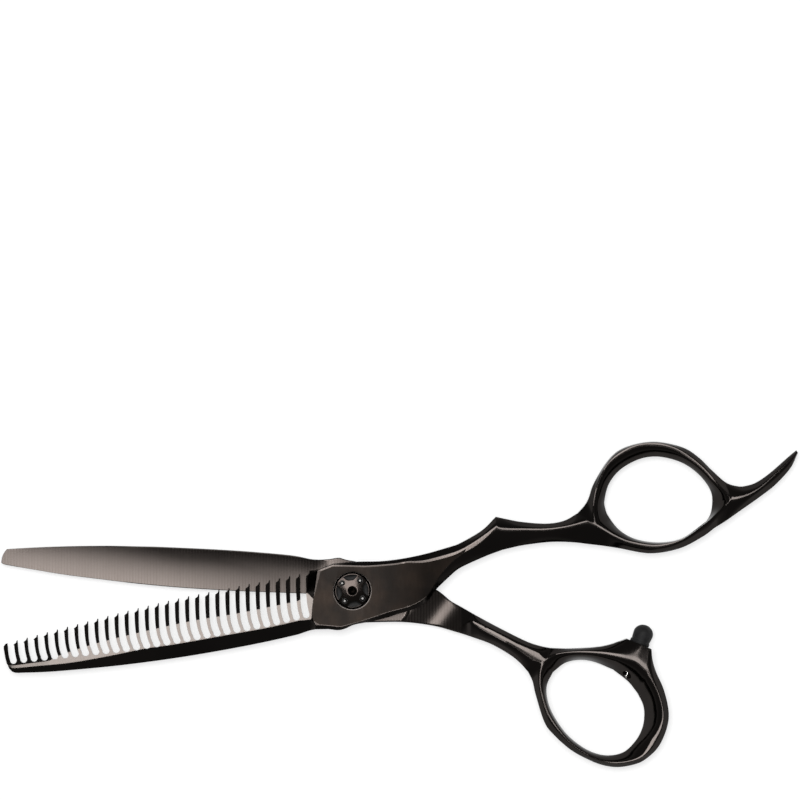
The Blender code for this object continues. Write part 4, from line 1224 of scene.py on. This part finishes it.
def dial(materials):
    """The tension dial: a slightly domed turned face, four ball holes and four pockets for a key."""
    thread = STUD_THREAD_R + FIT_GAP
    face = [(r, DIAL_TOP - DIAL_CROWN * (r / DIAL_R) ** DIAL_CURVE)
            for r in np.linspace(DIAL_HOLE_R + 0.1, DIAL_R - DIAL_EDGE, 14)]
    skirt = COUNTERBORE_R - 0.06
    profile = [(DIAL_HOLE_R, face[0][1] - 0.1)] + face
    profile += [(DIAL_R, face[-1][1] - DIAL_EDGE), (DIAL_R, DIAL_BOTTOM + 0.34),
                (skirt, DIAL_BOTTOM + 0.05), (skirt, DIAL_BOTTOM), (thread, DIAL_BOTTOM),
                (thread, DIAL_WEB), (DIAL_HOLE_R, DIAL_WEB)]
    disc = turned("dial_face", profile, materials, 120)
    seats = [on_circle(BALL_CIRCLE, BALL_ANGLE + 90 * k) for k in range(4)]
    holes = prism("holes", [circle(seat, BALL_R + 0.02, 32) for seat in seats],
                  DIAL_BOTTOM - 0.5, DIAL_TOP + 0.5)
    mouths = prism("mouths", [circle(seat, BALL_HOLE_R, 32) for seat in seats],
                   DIAL_TOP - MOUTH_DEPTH, DIAL_TOP + 0.5)
    pockets = prism("pockets", [scallop(BALL_ANGLE + 45 + 90 * k) for k in range(4)],
                    DIAL_TOP - POCKET_DEPTH, DIAL_TOP + 0.5)
    # The pockets' faces, and later the mouths' and holes' faces, take dial_pocket: its darker colour
    # is painted shade in these recesses.
    boolean(disc, [painted(pockets, 1)])
    edge = disc.modifiers.new("edge", "BEVEL")
    edge.width = DIAL_BEVEL * MM
    edge.segments = 2
    edge.limit_method = "ANGLE"
    edge.angle_limit = math.radians(40)
    # The bevel's faces take dial_rim, a little lighter than the face: a painted highlight along the
    # dial's edges.
    edge.material = 2
    bake(disc)
    boolean(disc, [painted(cutter, 1) for cutter in (mouths, holes)])
    builder = bmesh.new()
    builder.from_mesh(disc.data)
    bmesh.ops.remove_doubles(builder, verts=builder.verts, dist=0.003 * MM)
    bmesh.ops.dissolve_degenerate(builder, edges=builder.edges, dist=0.001 * MM)
    builder.to_mesh(disc.data)
    builder.free()
    return shade(disc)


def ball(index, material):
    """A click ball: a cone with a small flat on top, worn flat where it rides on its plate."""
    arc = [(BALL_R * math.sin(a), BALL_R * math.cos(a)) for a in np.linspace(1.15, 2.8, 12)]
    top = [(0, BALL_FLAT_Z), (BALL_FLAT_R, BALL_FLAT_Z)]
    item = turned(f"click_ball_{index + 1}", top + arc + [(0, arc[-1][1])], [material], 32)
    centre = on_circle(BALL_CIRCLE, BALL_ANGLE + 90 * index)
    item.data.transform(Matrix.Translation(Vector((*centre, CLICK_PLATE_TOP + 0.02 + BALL_R))
                                           * MM))
    return shade(item)


def stud(material):
    """The pivot stud: a low domed head at the rear and a hexagonal socket in its end."""
    head = [(STUD_HEAD_R, STUD_HEAD_T), (STUD_HEAD_R, 0.35), (STUD_HEAD_R - 0.08, 0.2),
            (STUD_HEAD_R - 0.3, 0.06), (STUD_HEAD_R - 0.55, 0.0), (2.35, 0.0), (2.25, 0.12),
            (2.05, 0.12), (1.95, 0.0), (0, 0.0)]
    profile = [(0, STUD_TOP - STUD_DISH), (STUD_THREAD_R - 0.1, STUD_TOP),
               (STUD_THREAD_R, STUD_TOP - 0.1),
               (STUD_THREAD_R, CLICK_PLATE_TOP + FIT_GAP), (STUD_R, CLICK_PLATE_TOP + FIT_GAP),
               (STUD_R, STUD_HEAD_T)]
    item = turned("stud_turned", profile + head, [material])
    floor = STUD_TOP - SOCKET_DEPTH
    socket = turned("socket", ((0, STUD_TOP + 1), (SOCKET_R, STUD_TOP + 1), (SOCKET_R, floor),
                               (0, floor - 0.7)), (), 6)
    boolean(item, [socket])
    return shade(item)


def bumper(material):
    """The rubber stop: a short foot, a slightly waisted side and a full round top."""
    dome = [(BUMPER_R * math.sin(a), BUMPER_LENGTH - BUMPER_R * 0.92 * (1 - math.cos(a)))
            for a in np.linspace(0, math.pi / 2, 16)]
    bore = STEM_R + FIT_GAP
    side = [(BUMPER_R - 0.05, 1.7), (BUMPER_R - 0.10, 1.15), (BUMPER_R - 0.16, 0.85),
            (BUMPER_R - 0.14, 0.62), (BUMPER_R, 0.55), (BUMPER_R, 0.0), (BUMPER_R - 0.06, -0.08)]
    profile = dome + side + [(bore, -0.08), (bore, BUMPER_BORE_DEPTH), (0, BUMPER_BORE_DEPTH)]
    item = turned("bumper_stop", profile, [material], 72)
    return shade(lay_along(item, BUMPER_BASE, BUMPER_AXIS, RING_MIDDLE), 40)


def bumper_stem(material):
    """The bumper's stem, with a small ball end that shows in the wall of the thumb ring."""
    top = BUMPER_BORE_DEPTH - FIT_GAP
    ball_end = [(STEM_BALL_R * math.sin(a), STEM_END + STEM_BALL_R * (1 + math.cos(a)))
                for a in np.linspace(0.65, math.pi, 14)]
    profile = [(0, top), (STEM_R - 0.1, top), (STEM_R, top - 0.1), (STEM_R, STEM_END + 1.35),
               (STEM_R - 0.2, STEM_END + 1.15), (0.2, STEM_END + 1.05)] + ball_end
    item = turned("stem_turned", profile, [material], 48)
    return shade(lay_along(item, BUMPER_BASE, BUMPER_AXIS, RING_MIDDLE))


# ---------------------------------------------------------------- stage, light and camera

def stage():
    """A pale table that the shears lie on."""
    builder = bmesh.new()
    bmesh.ops.create_grid(builder, x_segments=2, y_segments=2, size=3.0)
    nodes = Nodes("table", (0.42, 0.42, 0.42), 0.0, 0.6)
    nodes.shader.inputs["Emission Color"].default_value = (1.0, 1.0, 1.0, 1.0)
    nodes.shader.inputs["Emission Strength"].default_value = 0.62
    table_top = finish_mesh("table_top", builder, [nodes.material])
    table_top.location.z = -0.02 * MM


def light(name, place, size, power, target=(0.0, 0.0, 0.0)):
    lamp = bpy.data.lights.new(name, "AREA")
    lamp.shape = "RECTANGLE"
    lamp.size, lamp.size_y = size
    lamp.energy = power
    item = bpy.data.objects.new(name, lamp)
    item.location = place
    aim = Vector(target) - Vector(place)
    item.rotation_euler = aim.to_track_quat("-Z", "Y").to_euler()
    bpy.context.scene.collection.objects.link(item)


def lighting():
    """A soft box overhead towards the upper left, and a dark room with a pale horizon."""
    light("overhead", (-0.10, 0.23, 1.9), (0.80, 0.74), 28.0)
    world = bpy.data.worlds.new("room")
    world.use_nodes = True
    tree = world.node_tree
    split = tree.nodes.new("ShaderNodeSeparateXYZ")
    fade = tree.nodes.new("ShaderNodeValToRGB")
    coordinates = tree.nodes.new("ShaderNodeTexCoord")
    tree.links.new(coordinates.outputs["Generated"], split.inputs[0])
    tree.links.new(split.outputs["Z"], fade.inputs["Fac"])
    tree.links.new(fade.outputs["Color"], tree.nodes["Background"].inputs["Color"])
    fade.color_ramp.elements[0].position = 0.05
    fade.color_ramp.elements[0].color = (0.45, 0.45, 0.45, 1.0)
    fade.color_ramp.elements[1].position = 0.35
    fade.color_ramp.elements[1].color = (0.22, 0.22, 0.22, 1.0)
    bpy.context.scene.world = world


def camera():
    """A long lens straight above the shears."""
    lens = bpy.data.cameras.new("camera")
    lens.sensor_width = SENSOR
    lens.lens = SENSOR * VIEW_HEIGHT / VIEW_WIDTH
    lens.clip_end = 10.0
    item = bpy.data.objects.new("camera", lens)
    item.location = Vector((*VIEW_CENTRE, VIEW_HEIGHT + FRONT_FACE)) * MM
    bpy.context.scene.collection.objects.link(item)
    bpy.context.scene.camera = item


# ---------------------------------------------------------------- assembly

def place(item, body, slot, *nodes):
    """Ride a piece on its body and hide the CAD nodes that it stands for. The slot, its finish's name,
    is not used.
    """
    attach(item, body)
    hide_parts(*nodes)


def repaint(node, material):
    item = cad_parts[node]
    item.data.materials.clear()
    item.data.materials.append(material)


def main():
    steels = [polished_steel(), satin_steel(), ground_steel_sheen(), honed_steel()]
    # dial_pocket's darker colour is painted shade in the dial's recesses.
    dial_finishes = [dial_metal(), dial_part("dial_pocket", (0.0065, 0.0064, 0.0064), 0.4),
                     dial_part("dial_rim", (0.024, 0.021, 0.020), 0.3)]
    # A darker copy of bright steel for the click balls and the click plate: painted shade, as they sit
    # in shade inside the dial.
    shade_dimmed_steel = dial_part("shade_dimmed_steel", (0.04, 0.039, 0.038), 0.2, 0.02)
    bright = bearing_part("bright_steel", (0.55, 0.54, 0.52), 0.2)
    bronze = bearing_part("bearing_bronze", (0.45, 0.29, 0.13), 0.35)
    nylon = bearing_part("nylon", (0.75, 0.74, 0.70), 0.45, 0.0)
    black = rubber()

    place(cut_front_half(front_half(steels)), "finger_half", "polished_titanium",
          "comb_blade", "finger_handle")
    place(cut_rear_half(rear_half(steels)), "thumb_half", "polished_titanium",
          "cutting_blade", "thumb_handle")
    place(stud(steels[POLISHED]), "thumb_half", "polished_titanium", "pivot_stud")
    place(bumper(black), "thumb_half", "black_rubber", "bumper")
    place(bumper_stem(bright), "thumb_half", "bright_steel", "bumper_stem")
    place(dial(dial_finishes), "dial", "dial_titanium", "tension_dial")
    for index in range(4):
        place(ball(index, shade_dimmed_steel), "dial", "bright_steel", f"dial_ball_{index + 1}")
    for node, material in (("pivot_bush", bronze), ("thrust_washer", nylon),
                           ("wave_spring", bright), ("click_plate", shade_dimmed_steel)):
        repaint(node, material)
    stage()
    lighting()
    camera()
    bpy.context.scene.view_settings.view_transform = "Standard"


main()
